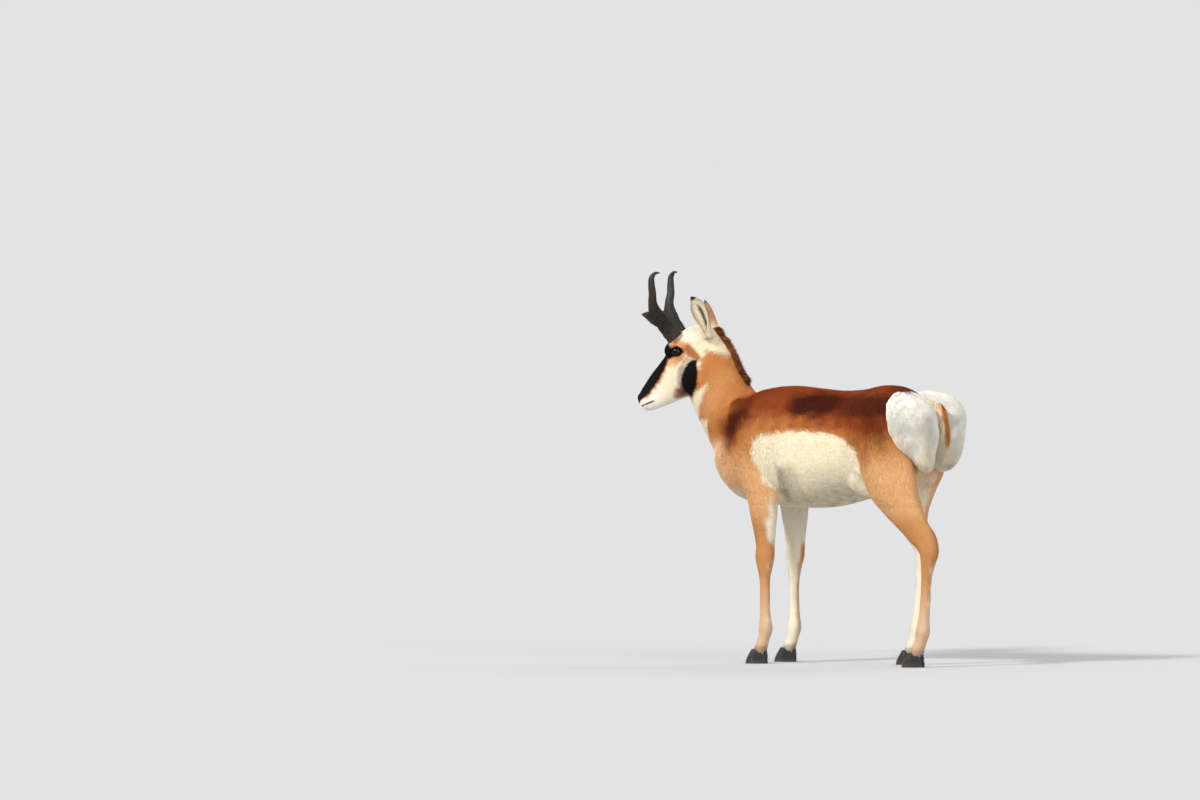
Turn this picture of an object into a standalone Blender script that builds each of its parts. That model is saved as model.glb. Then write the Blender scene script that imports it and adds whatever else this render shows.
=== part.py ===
"""A still, life-size pronghorn buck, standing square with its head turned a little to the left.

Metres, +Z up. The origin is on the floor under the middle of the animal, which faces -X,
so its left side is -Y. The flesh is modelled whole, then parted into nodes by thin cuts.
"""

import math
import random

import bmesh
import bpy
import numpy as np
from mathutils import Matrix, Vector
from mathutils.bvhtree import BVHTree

GAP = 0.0003
SPARE = 0.004
SIDES = (("left", -1), ("right", 1))
SHARP = math.radians(48)

# Voxel sizes of the two flesh meshes, and how many triangles each keeps
BODY_VOXEL = 0.005
HEAD_VOXEL = 0.003
BODY_TRIANGLES = 3600
HEAD_TRIANGLES = 1250
BODY_SMOOTHING = 26
HEAD_SMOOTHING = 5

# The middle of the finished animal's box in the frame of the numbers below
MIDDLE = Vector((0.001, -0.0145, 0.0))

# Base colour and roughness of each part's material, matched by the start of its name
LOOKS = (
    ("eye", (0.012, 0.009, 0.008), 0.12),
    ("horn", (0.035, 0.028, 0.024), 0.55),
    ("ear", (0.46, 0.34, 0.23), 0.80),
    ("head", (0.42, 0.30, 0.21), 0.80),
    ("neck", (0.45, 0.21, 0.095), 0.85),
    ("chest", (0.44, 0.21, 0.10), 0.85),
    ("barrel", (0.50, 0.31, 0.19), 0.85),
    ("hindquarters", (0.52, 0.34, 0.23), 0.85),
    ("tail", (0.30, 0.15, 0.08), 0.90),
    ("fore_claw", (0.020, 0.018, 0.017), 0.45),
    ("hind_claw", (0.020, 0.018, 0.017), 0.45),
    ("fore", (0.47, 0.27, 0.15), 0.85),
    ("hind", (0.47, 0.27, 0.15), 0.85),
)

# Where thin cuts part the flesh: height, or place, way the cut faces, length and width of its slab
KNEE_LEVEL = 0.318
FETLOCK_LEVEL = 0.098
CORONET_LEVEL = 0.0455
HEAD_CUT = (Vector((-0.335, -0.02, 0.915)), Vector((-0.90, -0.15, 0.42)))
NECK_CUT = (Vector((-0.235, 0.0, 0.745)), Vector((-0.845, 0.0, 0.535)), 0.6, 0.6)
CHEST_CUT = (Vector((0.015, 0.0, 0.70)), Vector((1.0, 0.0, 0.0)), 0.9, 0.5)
FLANK_CUT = (Vector((0.232, 0.0, 0.70)), Vector((1.0, 0.0, 0.06)), 0.9, 0.5)
ELBOW_CUT = (Vector((-0.085, 0.100, 0.512)), Vector((0.0, -0.58, 0.81)), 0.17, 0.15)
STIFLE_CUT = (Vector((0.38, 0.0, 0.538)), Vector((-0.31, 0.0, 0.95)), 0.284, 0.5)
# In the head's frame: the cut through each horn's base, how far it leans out, and its length and width
HORN_CUT = (Vector((0.064, 0.041, 0.046)), 0.30, 0.072, 0.052)
EAR_CUT_SIZE = 0.062

# The middle of each part that the cuts leave of the body, by which it is named
BODY_MIDDLES = {
    "neck": (-0.29, 0.0, 0.85),
    "chest": (-0.13, 0.0, 0.68),
    "barrel": (0.12, 0.0, 0.67),
    "hindquarters": (0.38, 0.0, 0.70),
}
FORE_UPPER_MIDDLE = (-0.08, 0.088, 0.42)
HIND_UPPER_MIDDLE = (0.44, 0.095, 0.43)
HEAD_MIDDLE = (0.13, 0.0, -0.04)
HORN_MIDDLE = (0.02, 0.07, 0.13)
EAR_MIDDLE = (-0.04, 0.066, 0.03)

EYE = Vector((0.0916, 0.0365, -0.0015))
EYE_RADIUS = 0.0210
LID = 0.0030
EYE_LENGTH = 0.0185
EYE_HEIGHT = 0.0120
EYE_TILT = math.radians(40)
EYE_CUT = (0.0135, 0.0450)

# The line of the mouth, in the head's frame: middle, lean in degrees, size of the plate that cuts it
# and how deep it goes
MOUTH_PLACE = (0.281, 0.0, -0.0400)
MOUTH_LEAN = -24
MOUTH_PLATE = (0.050, 0.120, 0.0020)
MOUTH_DEPTH = 0.005
NOSTRIL = ((0.2870, 0.0150, -0.0090), (0.0075, 0.0040, 0.0045), 25)

# Horn stations in the head's frame: s, y, n, half depth, half width
HORN = (
    (0.064, 0.037, 0.030, 0.0270, 0.0175),
    (0.060, 0.044, 0.055, 0.0258, 0.0168),
    (0.055, 0.056, 0.080, 0.0240, 0.0152),
    (0.049, 0.069, 0.103, 0.0228, 0.0140),
    (0.041, 0.083, 0.127, 0.0200, 0.0132),
    (0.025, 0.095, 0.148, 0.0146, 0.0127),
    (0.004, 0.104, 0.1655, 0.0126, 0.0120),
    (-0.016, 0.109, 0.187, 0.0112, 0.0110),
    (-0.034, 0.110, 0.2015, 0.0095, 0.0095),
    (-0.049, 0.106, 0.2035, 0.0068, 0.0068),
    (-0.060, 0.100, 0.1935, 0.0018, 0.0018),
)
PRONG = (
    (0.050, 0.060, 0.085, 0.0240, 0.0110),
    (0.058, 0.070, 0.112, 0.0220, 0.0095),
    (0.067, 0.080, 0.136, 0.0135, 0.0070),
    (0.078, 0.085, 0.1520, 0.0024, 0.0022),
)

# Ear stations from root to tip in the head's frame: s, y, n, half width, wall, turns the wall covers.
# The left ear is cupped to the side and the right one is turned forward.
EARS = {
    "left": (
        (-0.014, 0.046, -0.050, 0.0130, 0.0050, 0.90),
        (-0.031, 0.054, -0.022, 0.0165, 0.0042, 0.80),
        (-0.046, 0.061, 0.002, 0.0225, 0.0034, 0.62),
        (-0.057, 0.067, 0.026, 0.0258, 0.0030, 0.52),
        (-0.065, 0.072, 0.047, 0.0225, 0.0026, 0.46),
        (-0.069, 0.075, 0.062, 0.0140, 0.0023, 0.42),
        (-0.070, 0.077, 0.0745, 0.0035, 0.0018, 0.38),
    ),
    "right": (
        (-0.014, 0.046, -0.050, 0.0130, 0.0050, 0.90),
        (-0.025, 0.056, -0.024, 0.0160, 0.0042, 0.80),
        (-0.033, 0.064, 0.000, 0.0215, 0.0034, 0.62),
        (-0.041, 0.070, 0.022, 0.0240, 0.0030, 0.52),
        (-0.050, 0.074, 0.041, 0.0210, 0.0026, 0.46),
        (-0.057, 0.077, 0.055, 0.0135, 0.0023, 0.42),
        (-0.061, 0.079, 0.066, 0.0035, 0.0018, 0.38),
    ),
}
EAR_OPENS = {"left": Vector((0.05, 0.97, 0.20)), "right": Vector((0.75, 0.15, 0.55))}
# The swelling at each ear's root: offset from the first station, radii and turn
EAR_ROOT = ((-0.005, 0.0, 0.012), (0.019, 0.016, 0.024), -20)

TAIL = (
    (0.415, 0.0, 0.812, 0.020, 0.022),
    (0.452, 0.0, 0.798, 0.019, 0.022),
    (0.474, 0.0, 0.768, 0.016, 0.020),
    (0.481, 0.0, 0.728, 0.012, 0.016),
    (0.480, 0.0, 0.694, 0.004, 0.005),
)

# Each cloven foot: height, toe ahead and heel behind the foot's middle, half width of a claw
CLAW = (
    (0.0000, -0.046, 0.027, 0.0125),
    (0.0120, -0.043, 0.027, 0.0122),
    (0.0300, -0.033, 0.026, 0.0115),
    (0.0450, -0.023, 0.023, 0.0105),
)
CLEFT = 0.0012

# The flared white rump hair fills these eggs, one of each pair given: place, radii and turn about y
RUMP_PUFFS = (
    ((0.405, 0.076, 0.712), (0.129, 0.080, 0.130), 0),
    ((0.433, 0.091, 0.756), (0.098, 0.068, 0.079), 0),
)
# Its locks fan out and down from the tail: length, width, thickness, how many are tried on a side,
# and how far a tip must stand clear of the flesh for its lock to be kept
RUMP_HAIR = 0.080
RUMP_LOCK = (0.043, 0.014)
RUMP_LOCKS = 140
RUMP_CLEAR = 0.010
RUMP_MIDDLE = Vector((0.375, 0.060, 0.730))
RUMP_FAN = Vector((0.400, 0.030, 0.790))
RUMP_DEPTH = 0.052
RUMP_FRONT = 0.350
RUMP_INNER = 0.020
# How much each lock points outward and how much along the fan, and how far its tip bends out
RUMP_LIE = (0.62, 0.80)
RUMP_BEND = (0.02, 0.14)

# The mane's ridge, from the withers to the crown: x, y, z, half height, half width
MANE_LINE = (
    (-0.232, -0.001, 0.888, 0.016, 0.010),
    (-0.258, -0.005, 0.935, 0.019, 0.012),
    (-0.286, -0.013, 0.985, 0.020, 0.012),
    (-0.316, -0.020, 1.024, 0.018, 0.012),
)
# Its locks: length, width, thickness, how many side by side and along, and how many degrees each
# lies back from upright at the withers, below the crown and at the crown, where they stand in a tuft
MANE_HAIR = 0.056
MANE_LOCK = (0.025, 0.009)
MANE_ROWS = 3
MANE_STEPS = 10
MANE_LIE = (64, 62, -26)
MANE_CROWN = 0.92

# A lock's breadth at places along its length
LOCK_SHAPE = ((0.0, 0.80), (0.42, 1.0), (0.78, 0.58), (1.0, 0.03))
# Trunk sections from chest to buttocks: x, top, bottom, half width, height of the widest place
TRUNK = (
    (-0.302, 0.668, 0.606, 0.030, 0.50),
    (-0.288, 0.712, 0.574, 0.056, 0.50),
    (-0.260, 0.762, 0.541, 0.084, 0.50),
    (-0.222, 0.800, 0.511, 0.104, 0.48),
    (-0.170, 0.832, 0.494, 0.120, 0.46),
    (-0.100, 0.850, 0.488, 0.130, 0.44),
    (-0.020, 0.857, 0.481, 0.140, 0.43),
    (0.060, 0.851, 0.479, 0.149, 0.43),
    (0.150, 0.844, 0.487, 0.153, 0.45),
    (0.230, 0.848, 0.508, 0.147, 0.50),
    (0.310, 0.862, 0.540, 0.137, 0.54),
    (0.370, 0.855, 0.572, 0.122, 0.56),
    (0.415, 0.828, 0.600, 0.102, 0.56),
    (0.450, 0.775, 0.635, 0.060, 0.55),
)

# Neck sections from inside the chest to inside the head: x, y, z, half depth, half width
NECK = (
    (-0.110, 0.000, 0.640, 0.150, 0.100),
    (-0.175, 0.000, 0.690, 0.142, 0.100),
    (-0.255, 0.000, 0.765, 0.106, 0.087),
    (-0.306, -0.005, 0.846, 0.098, 0.077),
    (-0.336, -0.013, 0.915, 0.092, 0.069),
    (-0.357, -0.021, 0.962, 0.084, 0.063),
    (-0.372, -0.027, 0.990, 0.070, 0.056),
)

# The head's own frame: s runs from the poll towards the lips, y outward, n up from the face
POLL = Vector((-0.355, -0.030, 1.023))
HEAD_PITCH = math.radians(46)
HEAD_YAW = math.radians(17)

# Head sections: s, top, bottom, half width, height of the widest place
HEAD = (
    (-0.034, -0.006, -0.080, 0.036, 0.50),
    (0.000, 0.022, -0.108, 0.051, 0.55),
    (0.045, 0.038, -0.128, 0.055, 0.60),
    (0.090, 0.038, -0.138, 0.055, 0.62),
    (0.130, 0.024, -0.136, 0.049, 0.60),
    (0.170, 0.019, -0.122, 0.040, 0.58),
    (0.205, 0.016, -0.103, 0.034, 0.56),
    (0.240, 0.010, -0.087, 0.0295, 0.54),
    (0.268, 0.004, -0.073, 0.0275, 0.54),
    (0.288, -0.004, -0.062, 0.023, 0.55),
    (0.298, -0.014, -0.052, 0.013, 0.55),
)

# Flesh over the skull, in the head's frame: place, radii and turn about y, one of each pair given
HEAD_MUSCLES = (
    ((0.097, 0.034, 0.015), (0.028, 0.022, 0.023), 12),
    ((0.100, 0.034, -0.078), (0.062, 0.024, 0.052), 24),
    ((0.155, 0.020, -0.015), (0.060, 0.018, 0.022), 8),
    ((0.276, 0.0135, -0.014), (0.017, 0.0125, 0.014), 12),
    ((0.268, 0.0135, -0.036), (0.030, 0.0140, 0.015), 14),
    ((0.276, 0.0080, -0.058), (0.022, 0.0130, 0.010), 20),
)

# Legs, near and far alike: x, distance from the midline, z, half depth, half width
FORE_LEG = (
    (-0.125, 0.070, 0.700, 0.080, 0.050),
    (-0.110, 0.080, 0.620, 0.078, 0.050),
    (-0.094, 0.087, 0.560, 0.067, 0.043),
    (-0.086, 0.089, 0.515, 0.056, 0.037),
    (-0.082, 0.089, 0.455, 0.0455, 0.032),
    (-0.079, 0.088, 0.400, 0.0365, 0.0265),
    (-0.078, 0.087, 0.362, 0.0320, 0.0240),
    (-0.080, 0.086, 0.328, 0.0325, 0.0255),
    (-0.081, 0.0855, 0.298, 0.0260, 0.0225),
    (-0.081, 0.085, 0.268, 0.0195, 0.0175),
    (-0.081, 0.084, 0.190, 0.0175, 0.0150),
    (-0.080, 0.084, 0.138, 0.0195, 0.0175),
    (-0.079, 0.083, 0.108, 0.0228, 0.0215),
    (-0.085, 0.083, 0.080, 0.0190, 0.0200),
    (-0.094, 0.083, 0.055, 0.0200, 0.0215),
    (-0.101, 0.083, 0.036, 0.0215, 0.0230),
)
HIND_LEG = (
    (0.345, 0.070, 0.760, 0.092, 0.058),
    (0.352, 0.078, 0.690, 0.114, 0.066),
    (0.368, 0.088, 0.620, 0.112, 0.064),
    (0.391, 0.098, 0.560, 0.091, 0.055),
    (0.418, 0.100, 0.510, 0.073, 0.045),
    (0.448, 0.098, 0.463, 0.056, 0.036),
    (0.478, 0.095, 0.418, 0.0440, 0.0280),
    (0.506, 0.092, 0.384, 0.0395, 0.0250),
    (0.516, 0.091, 0.356, 0.0340, 0.0255),
    (0.513, 0.090, 0.325, 0.0265, 0.0225),
    (0.508, 0.090, 0.290, 0.0195, 0.0180),
    (0.502, 0.089, 0.205, 0.0178, 0.0160),
    (0.496, 0.088, 0.142, 0.0198, 0.0180),
    (0.492, 0.088, 0.110, 0.0235, 0.0220),
    (0.485, 0.088, 0.080, 0.0195, 0.0205),
    (0.475, 0.088, 0.055, 0.0205, 0.0220),
    (0.468, 0.088, 0.036, 0.0220, 0.0235),
)

# The right hind foot stands this far ahead of the left, and the swing starts at the hip
STRIDE = -0.130
STRIDE_TOP = 0.70
STRIDE_BOTTOM = 0.38

# Muscles on each side of the trunk: place, radii, turn about y
TRUNK_MUSCLES = (
    ((-0.142, 0.077, 0.700), (0.068, 0.040, 0.128), -24),
    ((-0.203, 0.062, 0.645), (0.055, 0.048, 0.066), 30),
    ((-0.085, 0.090, 0.625), (0.080, 0.042, 0.080), 28),
    ((0.320, 0.070, 0.720), (0.110, 0.066, 0.125), 20),
    ((0.272, 0.085, 0.600), (0.062, 0.040, 0.092), -22),
)


def smooth_rows(rows, count):
    """The rows, resampled evenly by their running length on one smooth curve through them."""
    rows = np.array(rows, float)
    steps = np.linalg.norm(np.diff(rows[:, :3], axis=0), axis=1)
    at = np.concatenate([[0], np.cumsum(steps)])
    slopes = np.gradient(rows, at, axis=0)
    wanted = np.linspace(0, at[-1], count)
    k = np.clip(np.searchsorted(at, wanted, side="right") - 1, 0, len(at) - 2)
    span = (at[k + 1] - at[k])[:, None]
    t = (wanted - at[k])[:, None] / span
    return (
        (2 * t**3 - 3 * t**2 + 1) * rows[k]
        + (t**3 - 2 * t**2 + t) * span * slopes[k]
        + (3 * t**2 - 2 * t**3) * rows[k + 1]
        + (t**3 - t**2) * span * slopes[k + 1]
    )


def oval(centre, out, up, half_width, top, bottom, widest=0.5, power=2.1, points=28):
    """Points round a section: half_width along out, and from bottom to top along up."""
    middle = bottom + (top - bottom) * widest
    ring = []
    for k in range(points):
        angle = 2 * math.pi * k / points
        c, s = math.cos(angle), math.sin(angle)
        width = math.copysign(abs(c) ** (2 / power), c) * half_width
        rise = math.copysign(abs(s) ** (2 / power), s)
        height = middle + rise * ((top - middle) if s > 0 else (middle - bottom))
        ring.append(centre + out * width + up * height)
    return ring


def add_tube(bm, rings, pointed=False):
    """A closed tube: one capped circle, extruded from ring to ring, then capped again or drawn to a point."""
    loop = bmesh.ops.create_circle(bm, cap_ends=True, segments=len(rings[0]), radius=1)["verts"]
    for vert, place in zip(loop, rings[0]):
        vert.co = place
    known = set(loop)
    edges = [edge for edge in bm.edges if edge.verts[0] in known and edge.verts[1] in known]
    for ring in rings[1:]:
        made = bmesh.ops.extrude_edge_only(bm, edges=edges)["geom"]
        fresh = {item for item in made if isinstance(item, bmesh.types.BMVert)}
        edges = [item for item in made if isinstance(item, bmesh.types.BMEdge)
                 and item.verts[0] in fresh and item.verts[1] in fresh]
        loop = [next(e.other_vert(vert) for e in vert.link_edges if e.other_vert(vert) in fresh) for vert in loop]
        for vert, place in zip(loop, ring):
            vert.co = place
    if pointed:
        bmesh.ops.pointmerge(bm, verts=loop, merge_co=sum(rings[-1], Vector()) / len(loop))
    else:
        bmesh.ops.contextual_create(bm, geom=edges)


def add_ball(bm, centre, radii, turn=0, frame=None, around=24, along=14):
    """An egg of flesh: radii along x, y and z, turned by degrees about y, in a frame."""
    place = Matrix.Translation(centre) @ Matrix.Rotation(math.radians(turn), 4, "Y") @ Matrix.Diagonal((*radii, 1))
    if frame is not None:
        place = frame @ place
    return bmesh.ops.create_uvsphere(bm, u_segments=around, v_segments=along, radius=1, matrix=place)["verts"]


def head_frame():
    """From the head's own frame to the model's, with y still to the animal's right."""
    forward = Vector((-math.cos(HEAD_YAW), -math.sin(HEAD_YAW), 0))
    along = forward * math.cos(HEAD_PITCH) - Vector((0, 0, math.sin(HEAD_PITCH)))
    up = forward * math.sin(HEAD_PITCH) + Vector((0, 0, math.cos(HEAD_PITCH)))
    right = Vector((-math.sin(HEAD_YAW), math.cos(HEAD_YAW), 0))
    return Matrix.Translation(POLL) @ Matrix((along, right, up)).transposed().to_4x4()


def trunk_rings(count=30, points=28):
    across, up = Vector((0, 1, 0)), Vector((0, 0, 1))
    return [oval(Vector((x, 0, 0)), across, up, width, top, bottom, widest, points=points)
            for x, top, bottom, width, widest in smooth_rows(TRUNK, count)]


def tube_rings(rows, count, points, side=1):
    """Oval sections square to the line through the rows: x, y, z, half depth, half width."""
    rows = smooth_rows(rows, count)
    rows[:, 1] *= side
    rings = []
    for row, step in zip(rows, np.gradient(rows[:, :3], axis=0)):
        along = Vector(step).normalized()
        back = Vector((0, 1, 0)).cross(along).normalized()
        rings.append(oval(Vector(row[:3]), along.cross(back), back, row[4], row[3], -row[3], points=points))
    return rings


def head_rings(count=24, points=28, thinner=0.0):
    frame = head_frame()
    rings = []
    for s, top, bottom, width, widest in smooth_rows(HEAD, count):
        ring = oval(Vector((s, 0, 0)), Vector((0, 1, 0)), Vector((0, 0, 1)), width - thinner,
                    top - thinner, bottom + thinner, widest, points=points)
        rings.append([frame @ point for point in ring])
    return rings


def hind_leg(side):
    """The hind leg's rows: the right one swings forward from the hip."""
    rows = []
    for x, y, z, depth, width in HIND_LEG:
        swing = min(max((STRIDE_TOP - z) / (STRIDE_TOP - STRIDE_BOTTOM), 0), 1)
        swing = swing * swing * (3 - 2 * swing)
        rows.append((x + (STRIDE * swing if side > 0 else 0), y, z, depth, width))
    return rows


def ear_rings(name, side, count=11, arc=8):
    """Sections of a cupped ear: the wall goes round the back of each station, out and back in."""
    frame = head_frame()
    rows = smooth_rows(EARS[name], count)
    opens = EAR_OPENS[name].normalized()
    rings = []
    for row, step in zip(rows, np.gradient(rows[:, :3], axis=0)):
        along = Vector(step).normalized()
        back = -(opens - along * opens.dot(along)).normalized()
        across = along.cross(back)
        radius, wall, cover = row[3], row[4], row[5]
        ring = []
        for outward in (True, False):
            reach = radius if outward else max(radius - wall, radius * 0.35)
            turns = np.linspace(-0.5, 0.5, arc) * (1 if outward else -1)
            for turn in turns * cover * 2 * math.pi:
                flat = 1.0 if cover > 0.7 else 0.62 + 0.38 * (cover - 0.38) / 0.32
                ring.append(across * math.sin(turn) * reach + back * (math.cos(turn) * reach - radius * 0.3) * flat)
        places = [Vector(row[:3]) + offset for offset in ring]
        rings.append([frame @ Vector((p.x, p.y * side, p.z)) for p in places])
    return rings


def grown(rows, more):
    """The same tube, wider by more all round and longer by more at both ends."""
    rows = [list(row[:3]) + [row[3] + more, row[4] + more] for row in rows]
    for end, inner in ((0, 1), (-1, -2)):
        way = (Vector(rows[end][:3]) - Vector(rows[inner][:3])).normalized()
        rows[end][:3] = Vector(rows[end][:3]) + way * more
    return rows


def horn_rings(rows, side, count, points=12):
    """Oval sections of a horn, deep along s and flat along y."""
    frame = head_frame()
    rows = smooth_rows(rows, count)
    rings = []
    for row, step in zip(rows, np.gradient(rows[:, :3], axis=0)):
        along = Vector(step).normalized()
        deep = (Vector((1, 0, 0)) - along * along.x)
        if deep.length < 0.5:
            deep = Vector((0, 0, 1)) - along * along.z
        deep = deep.normalized()
        flat = along.cross(deep)
        places = oval(Vector(row[:3]), flat, deep, row[4], row[3], -row[3], points=points)
        rings.append([frame @ Vector((p.x, p.y * side, p.z)) for p in places])
    return rings


def claw_rings(x, y, side_of_foot, points=7):
    """Level outlines of one claw: straight beside the cleft, rounded outside, pointed at the toe."""
    rings = []
    for z, toe, heel, half in CLAW:
        outline = []
        for k in range(points):
            part = k / (points - 1)
            reach = math.sin(math.pi * min(part * 1.15 + 0.04, 1.0) ** 0.75) ** 0.7 if k < points - 1 else 0.35
            outline.append((toe + (heel - toe) * part, CLEFT + 2 * half * max(reach, 0.14)))
        for k in range(3):
            outline.append((heel + (toe - heel) * (0.04 + 0.46 * k), CLEFT))
        rings.append([Vector((x + px, y + py * side_of_foot, z)) for px, py in outline])
    return rings


def object_from(bm, name):
    bmesh.ops.recalc_face_normals(bm, faces=bm.faces)
    mesh = bpy.data.meshes.new(name)
    bm.to_mesh(mesh)
    bm.free()
    made = bpy.data.objects.new(name, mesh)
    bpy.context.scene.collection.objects.link(made)
    return made


def settle(made):
    """Replaces the object's mesh with what its modifiers make of it."""
    bpy.context.view_layer.update()
    graph = bpy.context.evaluated_depsgraph_get()
    mesh = bpy.data.meshes.new_from_object(made.evaluated_get(graph))
    made.modifiers.clear()
    made.data = mesh
    return made


def tubes(name, lists_of_rings):
    """Separate closed tubes, each its own object, gathered in a collection of that name."""
    group = bpy.data.collections.new(name)
    bpy.context.scene.collection.children.link(group)
    for k, rings in enumerate(lists_of_rings):
        bm = bmesh.new()
        add_tube(bm, rings)
        piece = object_from(bm, f"{name} {k}")
        bpy.context.scene.collection.objects.unlink(piece)
        group.objects.link(piece)
    return group


def take_in(group, bm, name):
    piece = object_from(bm, name)
    bpy.context.scene.collection.objects.unlink(piece)
    group.objects.link(piece)


def join(target, group, operation="UNION", solver="MANIFOLD"):
    """One Boolean with every object of the group, which is then cleared away."""
    boolean = target.modifiers.new(operation, "BOOLEAN")
    boolean.operation = operation
    boolean.operand_type = "COLLECTION"
    boolean.collection = group
    boolean.solver = solver
    settle(target)
    for piece in list(group.objects):
        bpy.data.objects.remove(piece)
    bpy.data.collections.remove(group)
    return target


def one_skin(made, voxel, smoothing, triangles, calm):
    """Remeshes overlapping lumps into one skin, eases it where calm says, and thins it out."""
    remesh = made.modifiers.new("one skin", "REMESH")
    remesh.mode = "VOXEL"
    remesh.voxel_size = voxel
    settle(made)
    group = made.vertex_groups.new(name="calm")
    for vert in made.data.vertices:
        group.add([vert.index], calm(vert.co), "REPLACE")
    ease = made.modifiers.new("ease", "SMOOTH")
    ease.iterations = smoothing
    ease.factor = 0.5
    ease.vertex_group = "calm"
    settle(made)
    made.vertex_groups.clear()
    thin = made.modifiers.new("thin out", "DECIMATE")
    thin.ratio = triangles / sum(len(face.vertices) - 2 for face in made.data.polygons)
    return settle(made)


def slab(cut, side=1):
    """A thin box square to the way the cut faces: long fore and aft or up and down, wide across."""
    place, lean, long, wide = cut
    place = Vector((place.x, place.y * side, place.z))
    lean = Vector((lean.x, lean.y * side, lean.z)).normalized()
    across = (Vector((0, 1, 0)) - lean * lean.y).normalized()
    turn = Matrix((across.cross(lean), across, lean)).transposed().to_4x4()
    bm = bmesh.new()
    matrix = Matrix.Translation(place) @ turn @ Matrix.Diagonal((long, wide, GAP, 1))
    bmesh.ops.create_cube(bm, size=1, matrix=matrix)
    return bm


def trim(made, place, lean):
    """Cuts off what lies past the plane and closes the flat cut."""
    bm = bmesh.new()
    bm.from_mesh(made.data)
    geometry = list(bm.verts) + list(bm.edges) + list(bm.faces)
    bmesh.ops.bisect_plane(bm, geom=geometry, dist=1e-6, plane_co=place, plane_no=lean, clear_outer=True)
    bmesh.ops.holes_fill(bm, edges=[edge for edge in bm.edges if edge.is_boundary])
    bmesh.ops.triangulate(bm, faces=[face for face in bm.faces if len(face.verts) > 4])
    bmesh.ops.recalc_face_normals(bm, faces=bm.faces)
    bm.to_mesh(made.data)
    bm.free()
    return made


def copy_of(made, name):
    twin = bpy.data.objects.new(name, made.data.copy())
    bpy.context.scene.collection.objects.link(twin)
    return twin


def loose_parts(made):
    """The closed surfaces of the object, each its own object, largest first."""
    bm = bmesh.new()
    bm.from_mesh(made.data)
    bpy.data.objects.remove(made)
    unseen = set(bm.faces)
    parts = []
    while unseen:
        start = unseen.pop()
        island, edge_of = {start}, [start]
        while edge_of:
            for edge in edge_of.pop().edges:
                for face in edge.link_faces:
                    if face in unseen:
                        unseen.discard(face)
                        island.add(face)
                        edge_of.append(face)
        parts.append(island)
    made_parts = []
    for island in sorted(parts, key=len, reverse=True):
        twin = bm.copy()
        bm.faces.index_update()
        twin.faces.ensure_lookup_table()
        keep = {face.index for face in island}
        bmesh.ops.delete(twin, geom=[face for face in twin.faces if face.index not in keep], context="FACES")
        made_parts.append(object_from(twin, "part"))
    bm.free()
    return made_parts


def name_parts(parts, middles):
    """Names each part after the nearest of the middles, keeping the largest for each."""
    for part in parts:
        corners = [Vector(corner) for corner in part.bound_box]
        middle = sum(corners, Vector()) / 8
        name = min(middles, key=lambda key: (Vector(middles[key]) - middle).length)
        if name in bpy.data.objects:
            bpy.data.objects.remove(part)
        else:
            part.name = name


def lock_rings(root, way, flat, length, width, thick, bend):
    """A flat tapered lock: root well below the surface, widest near the root, bent towards its tip."""
    across = way.cross(flat).normalized()
    thin = across.cross(way).normalized()
    rings = []
    for along, breadth in LOCK_SHAPE:
        centre = root + way * length * along + bend * length * along**2
        w, h = width * breadth / 2, thick * breadth / 2
        rings.append([centre + across * w, centre + thin * h, centre - across * w, centre - thin * h])
    return rings


def lock_group(name, locks):
    group = bpy.data.collections.new(name)
    bpy.context.scene.collection.children.link(group)
    for rings in locks:
        bm = bmesh.new()
        add_tube(bm, rings, pointed=True)
        take_in(group, bm, name)
    return group


def puff_reach(start, way):
    """How far out from start, along way, the rump hair's tips stand."""
    reach = 0.0
    for place, radii, _ in RUMP_PUFFS:
        scale = Vector((1 / radii[0], 1 / radii[1], 1 / radii[2]))
        offset = (start - Vector(place)) * scale
        line = way * scale
        b, c = line.dot(offset), offset.length_squared - 1
        under = b * b - line.length_squared * c
        if under > 0:
            reach = max(reach, (math.sqrt(under) - b) / line.length_squared)
    return reach


def rump_locks(side, flesh):
    """Overlapping locks over the rump hair's reach: tips on a golden spiral, roots nearer the tail."""
    dice = random.Random(11 + side)
    locks = []
    for k in range(RUMP_LOCKS):
        height = 1 - 2 * (k + 0.5) / RUMP_LOCKS
        turn = k * math.pi * (3 - math.sqrt(5))
        level = math.sqrt(1 - height * height)
        out = Vector((math.cos(turn) * level, math.sin(turn) * level, height))
        out = (out + Vector([dice.uniform(-0.05, 0.05) for _ in range(3)])).normalized()
        tip = RUMP_MIDDLE + out * puff_reach(RUMP_MIDDLE, out) * dice.uniform(0.97, 1.03)
        place, normal, _, away = flesh.find_nearest(Vector((tip.x, tip.y * side, tip.z)))
        inside = (Vector((tip.x, tip.y * side, tip.z)) - place).dot(normal) < 0
        if inside or away < RUMP_CLEAR or tip.x < RUMP_FRONT or tip.y < RUMP_INNER:
            continue
        fan = tip - RUMP_FAN
        fan = (fan - out * fan.dot(out)).normalized()
        way = (out * RUMP_LIE[0] + fan * RUMP_LIE[1]).normalized()
        length = RUMP_HAIR * dice.uniform(0.90, 1.10)
        width = RUMP_LOCK[0] * dice.uniform(0.85, 1.15)
        bend = out * dice.uniform(*RUMP_BEND)
        rings = lock_rings(tip - (way + bend) * length, way, out, length, width, RUMP_LOCK[1], bend)
        locks.append([[Vector((p.x, p.y * side, p.z)) for p in ring] for ring in rings])
    return locks


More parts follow.
